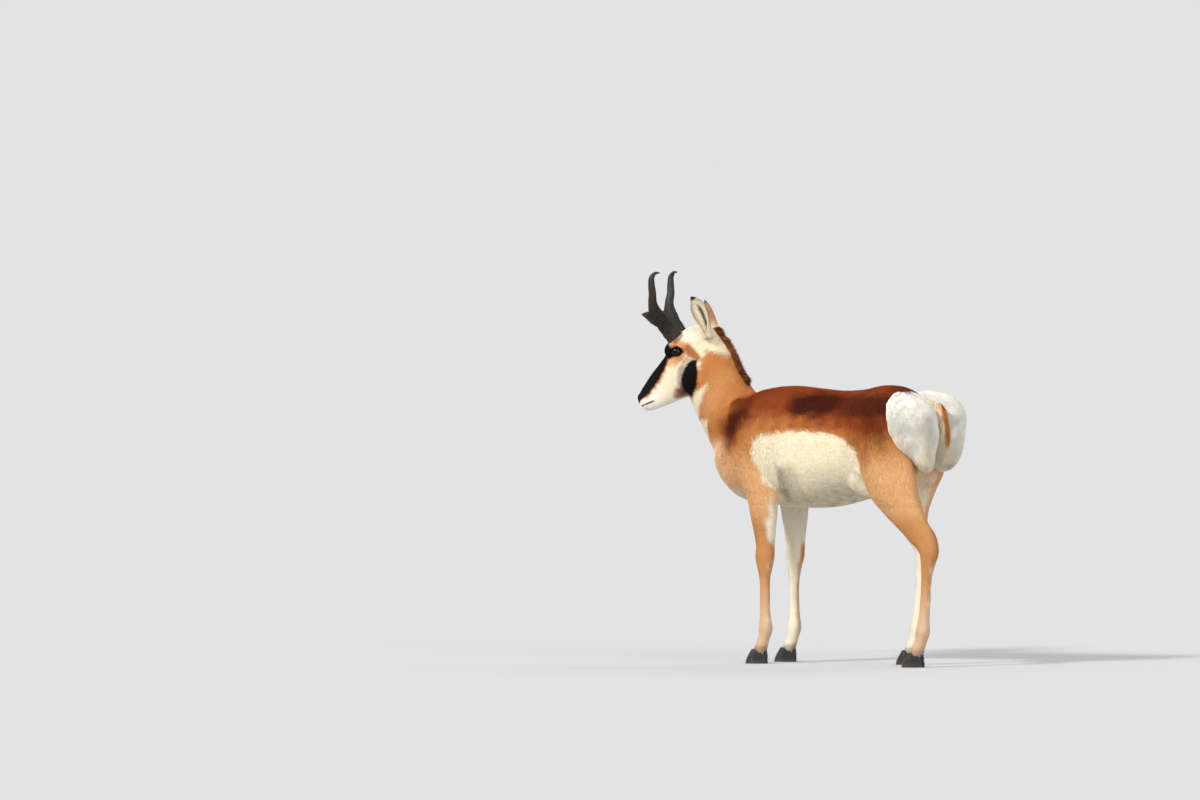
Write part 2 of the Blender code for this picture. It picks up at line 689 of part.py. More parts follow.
def mane_locks():
    """Rows of flat locks along the nape, each lying back over the next, and upright at the crown."""
    dice = random.Random(5)
    rows = smooth_rows(MANE_LINE, MANE_STEPS)
    locks = []
    for k, (row, step) in enumerate(zip(rows, np.gradient(rows[:, :3], axis=0))):
        rise = Vector(step).normalized()
        out = Vector((0, 1, 0)).cross(rise).normalized()
        part = k / (MANE_STEPS - 1)
        for line in range(MANE_ROWS):
            aside = (line - (MANE_ROWS - 1) / 2) * MANE_LOCK[0] * 0.50
            lie = math.radians(np.interp(part, (0, MANE_CROWN, 1), MANE_LIE) + dice.uniform(-5, 5))
            way = out * math.cos(lie) - rise * math.sin(lie)
            face = out * math.sin(lie) + rise * math.cos(lie)
            way = (way + Vector((0, aside * 12 + dice.uniform(-0.06, 0.06), 0))).normalized()
            length = MANE_HAIR * (0.90 + 0.10 * part) * dice.uniform(0.9, 1.1)
            ahead = rise * dice.uniform(-0.004, 0.004)
            root = Vector(row[:3]) + Vector((0, aside, 0)) - out * (0.003 + abs(aside) * 0.4) + ahead
            bend = (out - rise) * dice.uniform(-0.06, 0.10)
            locks.append(lock_rings(root, way, face, length, MANE_LOCK[0], MANE_LOCK[1], bend))
    return locks


def body_calm(place):
    """How strongly the trunk is eased: fully above the elbows, hardly at all down the legs."""
    return min(max((place.z - 0.44) / 0.14, 0.06), 1.0)


def make_body():
    bm = bmesh.new()
    add_tube(bm, trunk_rings())
    add_tube(bm, tube_rings(NECK, 16, 28))
    for _, side in SIDES:
        add_tube(bm, tube_rings(FORE_LEG, 34, 24, side))
        add_tube(bm, tube_rings(hind_leg(side), 36, 24, side))
        for place, radii, turn in TRUNK_MUSCLES:
            add_ball(bm, (place[0], place[1] * side, place[2]), radii, turn)
        for place, radii, turn in RUMP_PUFFS:
            core = [radius - RUMP_DEPTH / 2 for radius in radii]
            add_ball(bm, (place[0], place[1] * side, place[2]), core, turn)
    add_tube(bm, tube_rings(MANE_LINE, 10, 12))
    body = object_from(bm, "body")
    one_skin(body, BODY_VOXEL, BODY_SMOOTHING, BODY_TRIANGLES, body_calm)
    bpy.context.view_layer.update()
    flesh = BVHTree.FromObject(body, bpy.context.evaluated_depsgraph_get())
    join(body, lock_group("rump locks", rump_locks(-1, flesh) + rump_locks(1, flesh)))
    join(body, lock_group("mane locks", mane_locks()))
    trim(body, HEAD_CUT[0] - HEAD_CUT[1].normalized() * GAP / 2, HEAD_CUT[1])
    trim(body, Vector((0, 0, KNEE_LEVEL + GAP / 2)), Vector((0, 0, -1)))
    cuts = bpy.data.collections.new("body cuts")
    bpy.context.scene.collection.children.link(cuts)
    for cut in (NECK_CUT, CHEST_CUT, FLANK_CUT, STIFLE_CUT):
        take_in(cuts, slab(cut), "body cut")
    for _, side in SIDES:
        take_in(cuts, slab(ELBOW_CUT, side), "elbow cut")
    join(body, cuts, "DIFFERENCE")
    join(body, tubes("tail bed", [tube_rings(grown(TAIL, GAP), 9, 10)]), "DIFFERENCE")
    middles = dict(BODY_MIDDLES)
    for name, side in SIDES:
        x, y, z = FORE_UPPER_MIDDLE
        middles[f"fore_upper_{name}"] = (x, y * side, z)
        x, y, z = HIND_UPPER_MIDDLE
        middles[f"hind_upper_{name}"] = (x + (STRIDE if side > 0 else 0), y * side, z)
    name_parts(loose_parts(body), middles)


def make_tail():
    bm = bmesh.new()
    add_tube(bm, tube_rings(TAIL, 9, 10))
    object_from(bm, "tail")


def make_lower_legs():
    for name, side in SIDES:
        for leg, rows in (("fore", FORE_LEG), ("hind", hind_leg(side))):
            bm = bmesh.new()
            add_tube(bm, tube_rings(rows, 27, 12, side))
            whole = object_from(bm, "leg")
            cannon = copy_of(whole, f"{leg}_cannon_{name}")
            trim(cannon, Vector((0, 0, KNEE_LEVEL - GAP / 2)), Vector((0, 0, 1)))
            trim(cannon, Vector((0, 0, FETLOCK_LEVEL + GAP / 2)), Vector((0, 0, -1)))
            pastern = copy_of(whole, f"{leg}_pastern_{name}")
            trim(pastern, Vector((0, 0, FETLOCK_LEVEL - GAP / 2)), Vector((0, 0, 1)))
            trim(pastern, Vector((0, 0, CORONET_LEVEL)), Vector((0, 0, -1)))
            bpy.data.objects.remove(whole)
            foot = rows[-1]
            for claw, way in (("inner", -1), ("outer", 1)):
                bm = bmesh.new()
                add_tube(bm, claw_rings(foot[0], foot[1] * side, way * side))
                object_from(bm, f"{leg}_claw_{claw}_{name}")


def eye_opening(frame, side):
    """A prism along y, with the outline of the open lids."""
    ring = []
    for k in range(14):
        angle = 2 * math.pi * k / 14
        along = EYE_LENGTH * math.cos(angle)
        rise = EYE_HEIGHT * math.copysign(abs(math.sin(angle)) ** 1.25, math.sin(angle))
        c, s = math.cos(EYE_TILT), math.sin(EYE_TILT)
        ring.append((EYE.x + along * c - rise * s, EYE.z + along * s + rise * c))
    return [[frame @ Vector((s, (EYE.y + reach) * side, n)) for s, n in ring] for reach in EYE_CUT]


def mouth_cutter(frame):
    """A thin leaning plate round the muzzle, with the inside of the head taken out of it."""
    bm = bmesh.new()
    lean = Matrix.Translation(MOUTH_PLACE) @ Matrix.Rotation(math.radians(MOUTH_LEAN), 4, "Y")
    bmesh.ops.create_cube(bm, size=1, matrix=frame @ lean @ Matrix.Diagonal((*MOUTH_PLATE, 1)))
    plate = object_from(bm, "mouth plate")
    return join(plate, tubes("inside", [head_rings(30, 20, thinner=MOUTH_DEPTH)]), "DIFFERENCE")


def make_head():
    frame = head_frame()
    bm = bmesh.new()
    add_tube(bm, head_rings())
    add_tube(bm, tube_rings(NECK, 16, 28))
    add_tube(bm, tube_rings(MANE_LINE, 10, 12))
    for _, side in SIDES:
        for place, radii, turn in HEAD_MUSCLES:
            add_ball(bm, (place[0], place[1] * side, place[2]), radii, turn, frame)
    head = object_from(bm, "head mass")
    one_skin(head, HEAD_VOXEL, HEAD_SMOOTHING, HEAD_TRIANGLES * 2, lambda place: 1.0)
    behind = HEAD_CUT[1].normalized() * SPARE
    trim(head, HEAD_CUT[0] - behind, -HEAD_CUT[1])
    thin = head.modifiers.new("thin out", "DECIMATE")
    thin.ratio = min(HEAD_TRIANGLES / sum(len(face.vertices) - 2 for face in head.data.polygons), 1)
    settle(head)
    growths = bpy.data.collections.new("growths")
    bpy.context.scene.collection.children.link(growths)
    for name, side in SIDES:
        for rings in (horn_rings(HORN, side, 15, 10), horn_rings(PRONG, side, 5, 10), ear_rings(name, side, 9)):
            bm = bmesh.new()
            add_tube(bm, rings)
            take_in(growths, bm, "growth")
        bm = bmesh.new()
        add_ball(bm, (EYE.x, EYE.y * side, EYE.z), (EYE_RADIUS + LID,) * 3, 0, frame, 16, 9)
        take_in(growths, bm, "orbit")
        bm = bmesh.new()
        offset, radii, turn = EAR_ROOT
        root = Vector(EARS[name][0][:3]) + Vector(offset)
        add_ball(bm, (root.x, root.y * side, root.z), radii, turn, frame, 12, 8)
        take_in(growths, bm, "ear root")
    join(head, growths)
    join(head, lock_group("mane locks", mane_locks()))
    trim(head, HEAD_CUT[0] + HEAD_CUT[1].normalized() * GAP / 2, -HEAD_CUT[1])
    hollows = bpy.data.collections.new("hollows")
    bpy.context.scene.collection.children.link(hollows)
    plate = mouth_cutter(frame)
    bpy.context.scene.collection.objects.unlink(plate)
    hollows.objects.link(plate)
    for _, side in SIDES:
        bm = bmesh.new()
        add_ball(bm, (EYE.x, EYE.y * side, EYE.z), (EYE_RADIUS + GAP,) * 3, 0, frame, 16, 9)
        take_in(hollows, bm, "socket")
        bm = bmesh.new()
        add_tube(bm, eye_opening(frame, side))
        take_in(hollows, bm, "lids")
        bm = bmesh.new()
        (s, y, n), radii, turn = NOSTRIL
        add_ball(bm, (s, y * side, n), radii, turn, frame, 10, 8)
        take_in(hollows, bm, "nostril")
    join(head, hollows, "DIFFERENCE")
    cuts = bpy.data.collections.new("head cuts")
    bpy.context.scene.collection.children.link(cuts)
    for name, side in SIDES:
        bm = bmesh.new()
        place, out, long, wide = HORN_CUT
        lean = Matrix.Translation((place.x, place.y * side, place.z)) @ Matrix.Rotation(-out * side, 4, "X")
        bmesh.ops.create_cube(bm, size=1, matrix=frame @ lean @ Matrix.Diagonal((long, wide, GAP, 1)))
        take_in(cuts, bm, "horn cut")
        bm = bmesh.new()
        low, high = Vector(EARS[name][1][:3]), Vector(EARS[name][2][:3])
        line = high - low
        turn = Vector((line.x, line.y * side, line.z)).to_track_quat("Z", "Y").to_matrix().to_4x4()
        lean = Matrix.Translation((low.x, low.y * side, low.z)) @ turn
        bmesh.ops.create_cube(bm, size=1, matrix=frame @ lean @ Matrix.Diagonal((EAR_CUT_SIZE, EAR_CUT_SIZE, GAP, 1)))
        take_in(cuts, bm, "ear cut")
    join(head, cuts, "DIFFERENCE")
    middles = {"head": frame @ Vector(HEAD_MIDDLE)}
    for name, side in SIDES:
        for part, (s, y, n) in (("horn", HORN_MIDDLE), ("ear", EAR_MIDDLE)):
            middles[f"{part}_{name}"] = frame @ Vector((s, y * side, n))
        bm = bmesh.new()
        add_ball(bm, (EYE.x, EYE.y * side, EYE.z), (EYE_RADIUS,) * 3, 0, frame, 16, 9)
        object_from(bm, f"eye_{name}")
    name_parts(loose_parts(head), middles)


def paint(part):
    """Gives the part its own material."""
    _, colour, roughness = next(look for look in LOOKS if part.name.startswith(look[0]))
    material = bpy.data.materials.new(part.name)
    material.use_nodes = True
    shader = material.node_tree.nodes["Principled BSDF"]
    shader.inputs["Base Color"].default_value = (*colour, 1)
    shader.inputs["Roughness"].default_value = roughness
    part.data.materials.clear()
    part.data.materials.append(material)


def gather():
    """Puts every part in the animal's own collection, over the origin."""
    animal = bpy.data.collections.new("pronghorn buck")
    bpy.context.scene.collection.children.link(animal)
    for part in list(bpy.context.scene.collection.objects):
        part.data.transform(Matrix.Translation(-MIDDLE))
        part.data.shade_smooth()
        part.data.set_sharp_from_angle(angle=SHARP)
        paint(part)
        bpy.context.scene.collection.objects.unlink(part)
        animal.objects.link(part)


def main():
    for old in list(bpy.data.objects):
        bpy.data.objects.remove(old)
    make_body()
    make_tail()
    make_lower_legs()
    make_head()
    gather()


main()
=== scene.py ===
"""The looks of a still, life-size pronghorn buck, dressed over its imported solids.

One skin stands for the flesh. Its coat is closed hair tufts, laid along the body and
coloured by the same markings as the skin. Horns, hooves and eyes are pieces of their own.
Metres, +Z up, the animal faces -X. Forms are worked out round MIDDLE and moved at the end.
"""

import math

import bmesh
import bpy
import numpy as np
from mathutils import Matrix, Vector
from mathutils.bvhtree import BVHTree


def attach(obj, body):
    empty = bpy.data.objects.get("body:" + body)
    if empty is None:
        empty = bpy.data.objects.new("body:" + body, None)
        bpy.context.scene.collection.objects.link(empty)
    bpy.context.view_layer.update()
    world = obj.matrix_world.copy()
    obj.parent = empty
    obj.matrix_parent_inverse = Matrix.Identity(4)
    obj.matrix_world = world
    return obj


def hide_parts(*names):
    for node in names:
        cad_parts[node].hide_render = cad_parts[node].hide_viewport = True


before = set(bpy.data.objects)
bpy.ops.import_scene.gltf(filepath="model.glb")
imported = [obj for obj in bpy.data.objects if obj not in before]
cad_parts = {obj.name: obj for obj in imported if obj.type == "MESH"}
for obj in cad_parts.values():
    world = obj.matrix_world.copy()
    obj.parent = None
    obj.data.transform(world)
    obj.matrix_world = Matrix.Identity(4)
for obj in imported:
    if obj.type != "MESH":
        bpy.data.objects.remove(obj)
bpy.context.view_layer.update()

SIDES = (("left", -1), ("right", 1))
MIDDLE = Vector((0.001, -0.0145, 0.0))

# The camera's place: turned this far round from the animal's own side, far off with a long lens
CAMERA_TURN = math.radians(33)
CAMERA_RISE = math.radians(1.2)
CAMERA_AWAY = 45.0
PICTURE_WIDTH = 3.692
PICTURE_CENTRE = (-0.6145, 0.811)
SENSOR = 36.0

# Skin meshes: voxel sizes, rounds of smoothing, and how deep the skin lies under the coat's tips
BODY_VOXEL = 0.0060
HEAD_VOXEL = 0.0023
BODY_SMOOTHING = 20
HEAD_SMOOTHING = 7
COAT_DEPTH = 0.0035
FACE_DEPTH = 0.0012
LEG_DEPTH = 0.0015
# Where head and body skins meet: a place, the way towards the head, and how fast each skin sinks past it
SEAM = (Vector((-0.335, -0.02, 0.915)), Vector((-0.90, -0.15, 0.42)))
SEAM_SINK = 0.10
# How thin the head's swelling under a horn is made, and how many of an ear's rings its skin takes in
CORE_INSET = 0.002
EAR_FOOT = 9

# The eye in the head's frame, its lids, and the opening between them: how long, high and tilted it is,
# how its arch is drawn, and how far out it is cut from and to
EYE = Vector((0.0916, 0.0365, -0.0015))
EYE_RADIUS = 0.0210
SOCKET_GAP = 0.0004
EYEBALL_GAP = 0.0003
LID = 0.0030
EYE_LENGTH = 0.0185
EYE_HEIGHT = 0.0120
EYE_TILT = math.radians(40)
LID_ARCH = 1.25
EYE_CUT = (0.0135, 0.0450)
# The line of the mouth, and the hollows of a nostril: place, radii and turn about y
MOUTH_PLACE = (0.281, 0.0, -0.0400)
MOUTH_LEAN = -24
MOUTH_PLATE = (0.050, 0.12, 0.0014)
MOUTH_CUT = 0.0052
NOSTRIL = (
    ((0.2870, 0.0150, -0.0090), (0.0078, 0.0038, 0.0042), 25),
    ((0.2800, 0.0172, -0.0070), (0.0055, 0.0030, 0.0022), 50),
)

# Horn and prong stations in the head's frame: s, y, n, half depth, half width
HORN_VOXEL = 0.0013
HORN = (
    (0.064, 0.037, 0.030, 0.0270, 0.0175),
    (0.060, 0.044, 0.055, 0.0258, 0.0168),
    (0.055, 0.056, 0.080, 0.0240, 0.0152),
    (0.049, 0.069, 0.103, 0.0228, 0.0140),
    (0.041, 0.083, 0.127, 0.0200, 0.0132),
    (0.025, 0.095, 0.148, 0.0146, 0.0127),
    (0.004, 0.104, 0.1655, 0.0126, 0.0120),
    (-0.016, 0.109, 0.187, 0.0112, 0.0110),
    (-0.034, 0.110, 0.2020, 0.0088, 0.0088),
    (-0.049, 0.106, 0.2035, 0.0056, 0.0056),
    (-0.061, 0.100, 0.1925, 0.0016, 0.0016),
)
PRONG = (
    (0.050, 0.060, 0.085, 0.0240, 0.0110),
    (0.058, 0.070, 0.112, 0.0220, 0.0095),
    (0.067, 0.080, 0.136, 0.0135, 0.0070),
    (0.078, 0.085, 0.1520, 0.0024, 0.0022),
)

# Ear stations from root to tip in the head's frame: s, y, n, half width, wall, turns the wall covers
EARS = {
    "left": (
        (-0.014, 0.046, -0.050, 0.0130, 0.0050, 0.90),
        (-0.031, 0.054, -0.022, 0.0165, 0.0042, 0.80),
        (-0.046, 0.061, 0.002, 0.0225, 0.0034, 0.62),
        (-0.057, 0.067, 0.026, 0.0258, 0.0030, 0.52),
        (-0.065, 0.072, 0.047, 0.0225, 0.0026, 0.46),
        (-0.069, 0.075, 0.062, 0.0140, 0.0023, 0.42),
        (-0.070, 0.077, 0.0745, 0.0035, 0.0018, 0.38),
    ),
    "right": (
        (-0.014, 0.046, -0.050, 0.0130, 0.0050, 0.90),
        (-0.025, 0.056, -0.024, 0.0160, 0.0042, 0.80),
        (-0.033, 0.064, 0.000, 0.0215, 0.0034, 0.62),
        (-0.041, 0.070, 0.022, 0.0240, 0.0030, 0.52),
        (-0.050, 0.074, 0.041, 0.0210, 0.0026, 0.46),
        (-0.057, 0.077, 0.055, 0.0135, 0.0023, 0.42),
        (-0.061, 0.079, 0.066, 0.0035, 0.0018, 0.38),
    ),
}
# Which way each cup opens, and the swelling under it: offset from its root, radii and turn
EAR_OPENS = {"left": Vector((0.05, 0.97, 0.20)), "right": Vector((0.75, 0.15, 0.55))}
EAR_ROOT = ((-0.005, 0.0, 0.012), (0.019, 0.016, 0.024), -20)

# Tail stations: x, y, z, half depth, half width
TAIL = (
    (0.415, 0.0, 0.812, 0.020, 0.022),
    (0.452, 0.0, 0.798, 0.019, 0.022),
    (0.474, 0.0, 0.768, 0.016, 0.020),
    (0.481, 0.0, 0.728, 0.012, 0.016),
    (0.480, 0.0, 0.694, 0.004, 0.005),
)

# Claw sections from the sole up: height, toe, heel, half width. CLEFT is half the gap between two
HOOF_VOXEL = 0.0011
GROWTH_RING = 0.0052
CLAW = (
    (0.0000, -0.046, 0.027, 0.0125),
    (0.0120, -0.043, 0.027, 0.0122),
    (0.0300, -0.033, 0.026, 0.0115),
    (0.0450, -0.023, 0.023, 0.0105),
)
CLEFT = 0.0012

# Lumps of each white rump lobe, place and radii, and how deep under them the flesh lies
RUMP_PUFFS = (
    ((0.405, 0.076, 0.712), (0.129, 0.080, 0.130)),
    ((0.433, 0.091, 0.756), (0.098, 0.068, 0.079)),
)
RUMP_DEPTH = 0.026
# The low tuft of each lobe, placed as on the left, and how much higher the right one hangs
LOW_TUFT = ((0.479, 0.086, 0.649), (0.050, 0.044, 0.084))
FAR_TUFT_RISE = 0.034
# Where a lobe's outline is measured from, how far out the search starts, in how many steps it closes
# in, how closely the lumps run together, and where the lobe's hair fans out from
RUMP_MIDDLE = Vector((0.375, 0.060, 0.730))
LOBE_START = 0.24
LOBE_STEPS = 44
LOBE_BLEND = 16
RUMP_FAN = Vector((0.370, 0.020, 0.900))
# The tail's hanging brush: place and radii
TAIL_BRUSH = ((0.488, 0.002, 0.700), (0.046, 0.026, 0.085))

# The mane's line up the nape: x, y, z, half depth, half width
MANE_LINE = (
    (-0.202, 0.000, 0.855, 0.010, 0.006),
    (-0.232, -0.001, 0.888, 0.015, 0.009),
    (-0.258, -0.005, 0.935, 0.019, 0.012),
    (-0.286, -0.013, 0.985, 0.020, 0.012),
    (-0.316, -0.020, 1.024, 0.018, 0.012),
)

# Trunk sections from chest to buttocks: x, top, bottom, half width, height of the widest place
TRUNK = (
    (-0.302, 0.668, 0.606, 0.030, 0.50),
    (-0.288, 0.712, 0.574, 0.056, 0.50),
    (-0.260, 0.762, 0.541, 0.084, 0.50),
    (-0.222, 0.800, 0.511, 0.104, 0.48),
    (-0.170, 0.832, 0.494, 0.120, 0.46),
    (-0.100, 0.850, 0.488, 0.130, 0.44),
    (-0.020, 0.857, 0.481, 0.140, 0.43),
    (0.060, 0.851, 0.479, 0.149, 0.43),
    (0.150, 0.844, 0.487, 0.153, 0.45),
    (0.230, 0.848, 0.508, 0.147, 0.50),
    (0.310, 0.862, 0.540, 0.137, 0.54),
    (0.370, 0.855, 0.572, 0.122, 0.56),
    (0.415, 0.828, 0.600, 0.102, 0.56),
    (0.450, 0.775, 0.635, 0.060, 0.55),
)

# Neck sections from inside the chest to inside the head: x, y, z, half depth, half width
NECK = (
    (-0.110, 0.000, 0.640, 0.150, 0.100),
    (-0.175, 0.000, 0.690, 0.142, 0.100),
    (-0.255, 0.000, 0.765, 0.106, 0.087),
    (-0.306, -0.005, 0.846, 0.098, 0.077),
    (-0.336, -0.013, 0.915, 0.092, 0.069),
    (-0.357, -0.021, 0.962, 0.084, 0.063),
    (-0.372, -0.027, 0.990, 0.070, 0.056),
)

# The head's own frame: s runs from the poll towards the lips, y outward, n up from the face
POLL = Vector((-0.355, -0.030, 1.023))
HEAD_PITCH = math.radians(46)
HEAD_YAW = math.radians(17)

# Head sections: s, top, bottom, half width, height of the widest place
HEAD = (
    (-0.034, -0.006, -0.080, 0.036, 0.50),
    (0.000, 0.022, -0.108, 0.051, 0.55),
    (0.045, 0.038, -0.128, 0.055, 0.60),
    (0.090, 0.038, -0.138, 0.055, 0.62),
    (0.130, 0.024, -0.136, 0.049, 0.60),
    (0.170, 0.019, -0.122, 0.040, 0.58),
    (0.205, 0.016, -0.103, 0.034, 0.56),
    (0.240, 0.010, -0.087, 0.0295, 0.54),
    (0.268, 0.004, -0.073, 0.0275, 0.54),
    (0.288, -0.004, -0.062, 0.023, 0.55),
    (0.298, -0.014, -0.052, 0.013, 0.55),
)

# Flesh over the skull, in the head's frame: place, radii and turn about y, one of each pair given
HEAD_MUSCLES = (
    ((0.097, 0.034, 0.015), (0.028, 0.022, 0.023), 12),
    ((0.100, 0.034, -0.078), (0.062, 0.024, 0.052), 24),
    ((0.155, 0.020, -0.015), (0.060, 0.018, 0.022), 8),
    ((0.276, 0.0135, -0.014), (0.017, 0.0125, 0.014), 12),
    ((0.268, 0.0135, -0.036), (0.030, 0.0140, 0.015), 14),
    ((0.272, 0.0080, -0.056), (0.022, 0.0130, 0.010), -22),
)

# Legs, near and far alike: x, distance from the midline, z, half depth, half width
FORE_LEG = (
    (-0.125, 0.070, 0.700, 0.080, 0.050),
    (-0.110, 0.080, 0.620, 0.078, 0.050),
    (-0.094, 0.087, 0.560, 0.067, 0.043),
    (-0.086, 0.089, 0.515, 0.056, 0.037),
    (-0.082, 0.089, 0.455, 0.0455, 0.032),
    (-0.079, 0.088, 0.400, 0.0365, 0.0265),
    (-0.078, 0.087, 0.362, 0.0320, 0.0240),
    (-0.080, 0.086, 0.328, 0.0325, 0.0255),
    (-0.081, 0.0855, 0.298, 0.0260, 0.0225),
    (-0.081, 0.085, 0.268, 0.0195, 0.0175),
    (-0.081, 0.084, 0.190, 0.0175, 0.0150),
    (-0.080, 0.084, 0.138, 0.0195, 0.0175),
    (-0.079, 0.083, 0.108, 0.0228, 0.0215),
    (-0.085, 0.083, 0.080, 0.0190, 0.0200),
    (-0.094, 0.083, 0.055, 0.0200, 0.0215),
    (-0.101, 0.083, 0.036, 0.0215, 0.0230),
)
HIND_LEG = (
    (0.345, 0.070, 0.760, 0.092, 0.058),
    (0.352, 0.078, 0.690, 0.114, 0.066),
    (0.368, 0.088, 0.620, 0.112, 0.064),
    (0.391, 0.098, 0.560, 0.091, 0.055),
    (0.418, 0.100, 0.510, 0.073, 0.045),
    (0.448, 0.098, 0.463, 0.056, 0.036),
    (0.478, 0.095, 0.418, 0.0440, 0.0280),
    (0.506, 0.092, 0.384, 0.0395, 0.0250),
    (0.516, 0.091, 0.356, 0.0340, 0.0255),
    (0.513, 0.090, 0.325, 0.0265, 0.0225),
    (0.508, 0.090, 0.290, 0.0195, 0.0180),
    (0.502, 0.089, 0.205, 0.0178, 0.0160),
    (0.496, 0.088, 0.142, 0.0198, 0.0180),
    (0.492, 0.088, 0.110, 0.0235, 0.0220),
    (0.485, 0.088, 0.080, 0.0195, 0.0205),
    (0.475, 0.088, 0.055, 0.0205, 0.0220),
    (0.468, 0.088, 0.036, 0.0220, 0.0235),
)

# The right hind foot stands this far ahead of the left, and the swing grows from the hip to the hock
STRIDE = -0.130
STRIDE_TOP = 0.70
STRIDE_BOTTOM = 0.38

# Heights between which the trunk is smoothed more and more, from its least share to all of it
CALM_BOTTOM = 0.44
CALM_RISE = 0.14
CALM_LEAST = 0.08

# Muscles on each side of the trunk: place, radii, turn about y
TRUNK_MUSCLES = (
    ((-0.142, 0.077, 0.700), (0.068, 0.040, 0.128), -24),
    ((-0.203, 0.062, 0.645), (0.055, 0.048, 0.066), 30),
    ((-0.085, 0.090, 0.625), (0.080, 0.042, 0.080), 28),
    ((0.320, 0.070, 0.720), (0.110, 0.066, 0.125), 20),
    ((0.272, 0.085, 0.600), (0.062, 0.040, 0.092), -22),
)


def smooth_rows(rows, count):
    """The rows, resampled evenly by their running length on one smooth curve through them."""
    rows = np.array(rows, float)
    steps = np.linalg.norm(np.diff(rows[:, :3], axis=0), axis=1)
    at = np.concatenate([[0], np.cumsum(steps)])
    slopes = np.gradient(rows, at, axis=0)
    wanted = np.linspace(0, at[-1], count)
    k = np.clip(np.searchsorted(at, wanted, side="right") - 1, 0, len(at) - 2)
    span = (at[k + 1] - at[k])[:, None]
    t = (wanted - at[k])[:, None] / span
    return (
        (2 * t**3 - 3 * t**2 + 1) * rows[k]
        + (t**3 - 2 * t**2 + t) * span * slopes[k]
        + (3 * t**2 - 2 * t**3) * rows[k + 1]
        + (t**3 - t**2) * span * slopes[k + 1]
    )


def oval(centre, out, up, half_width, top, bottom, widest=0.5, power=2.1, points=28):
    """Points round a section: half_width along out, and from bottom to top along up."""
    middle = bottom + (top - bottom) * widest
    ring = []
    for k in range(points):
        angle = 2 * math.pi * k / points
        c, s = math.cos(angle), math.sin(angle)
        width = math.copysign(abs(c) ** (2 / power), c) * half_width
        rise = math.copysign(abs(s) ** (2 / power), s)
        height = middle + rise * ((top - middle) if s > 0 else (middle - bottom))
        ring.append(centre + out * width + up * height)
    return ring


def sided(place, side):
    """A place on the right of the middle, moved to the side asked for."""
    return Vector((place[0], place[1] * side, place[2]))


def add_tube(bm, rings, pointed=False):
    """A closed tube: a capped circle, extruded from ring to ring, then capped or drawn to a point."""
    loop = bmesh.ops.create_circle(bm, cap_ends=True, segments=len(rings[0]), radius=1)["verts"]
    for vert, place in zip(loop, rings[0]):
        vert.co = place
    known = set(loop)
    edges = [edge for edge in bm.edges if edge.verts[0] in known and edge.verts[1] in known]
    for ring in rings[1:]:
        made = bmesh.ops.extrude_edge_only(bm, edges=edges)["geom"]
        fresh = {item for item in made if isinstance(item, bmesh.types.BMVert)}
        edges = [item for item in made if isinstance(item, bmesh.types.BMEdge)
                 and item.verts[0] in fresh and item.verts[1] in fresh]
        loop = [next(edge.other_vert(vert) for edge in vert.link_edges if edge.other_vert(vert) in fresh)
                for vert in loop]
        for vert, place in zip(loop, ring):
            vert.co = place
    if pointed:
        bmesh.ops.pointmerge(bm, verts=loop, merge_co=sum(rings[-1], Vector()) / len(loop))
    else:
        bmesh.ops.contextual_create(bm, geom=edges)


def add_ball(bm, centre, radii, turn=0, place_in=None, around=40, along=24):
    """An egg of flesh: radii along x, y and z, turned by degrees about y, in a frame."""
    turned = Matrix.Rotation(math.radians(turn), 4, "Y")
    place = Matrix.Translation(centre) @ turned @ Matrix.Diagonal((*radii, 1))
    if place_in is not None:
        place = place_in @ place
    bmesh.ops.create_uvsphere(bm, u_segments=around, v_segments=along, radius=1, matrix=place)


def head_frame():
    """From the head's own frame to the model's, with y still to the animal's right."""
    forward = Vector((-math.cos(HEAD_YAW), -math.sin(HEAD_YAW), 0))
    along = forward * math.cos(HEAD_PITCH) - Vector((0, 0, math.sin(HEAD_PITCH)))
    up = forward * math.sin(HEAD_PITCH) + Vector((0, 0, math.cos(HEAD_PITCH)))
    right = Vector((-math.sin(HEAD_YAW), math.cos(HEAD_YAW), 0))
    return Matrix.Translation(POLL) @ Matrix((along, right, up)).transposed().to_4x4()


def trunk_rings(count, points):
    """Upright sections of the trunk."""
    across, up = Vector((0, 1, 0)), Vector((0, 0, 1))
    return [oval(Vector((x, 0, 0)), across, up, width, top, bottom, widest, points=points)
            for x, top, bottom, width, widest in smooth_rows(TRUNK, count)]


def tube_rings(rows, count, points, side=1):
    """Oval sections square to the line through the rows: x, y, z, half depth, half width."""
    rows = smooth_rows(rows, count)
    rows[:, 1] *= side
    rings = []
    for row, step in zip(rows, np.gradient(rows[:, :3], axis=0)):
        along = Vector(step).normalized()
        back = Vector((0, 1, 0)).cross(along).normalized()
        rings.append(oval(Vector(row[:3]), along.cross(back), back, row[4], row[3], -row[3], points=points))
    return rings


def head_rings(count, points, thinner=0.0):
    """Sections of the head across its length, thinner all round by that much."""
    place_in = head_frame()
    rings = []
    for s, top, bottom, width, widest in smooth_rows(HEAD, count):
        ring = oval(Vector((s, 0, 0)), Vector((0, 1, 0)), Vector((0, 0, 1)), width - thinner,
                    top - thinner, bottom + thinner, widest, points=points)
        rings.append([place_in @ point for point in ring])
    return rings


def stride_at(z):
    """How far forward the right hind leg has swung at each height."""
    return STRIDE * ramp(z, STRIDE_TOP, STRIDE_BOTTOM)


def swung(rows, side):
    """The rows of a hind leg, which start with x, y and z: the right one swings forward from the hip."""
    return [(row[0] + (stride_at(row[2]) if side > 0 else 0), *row[1:]) for row in rows]


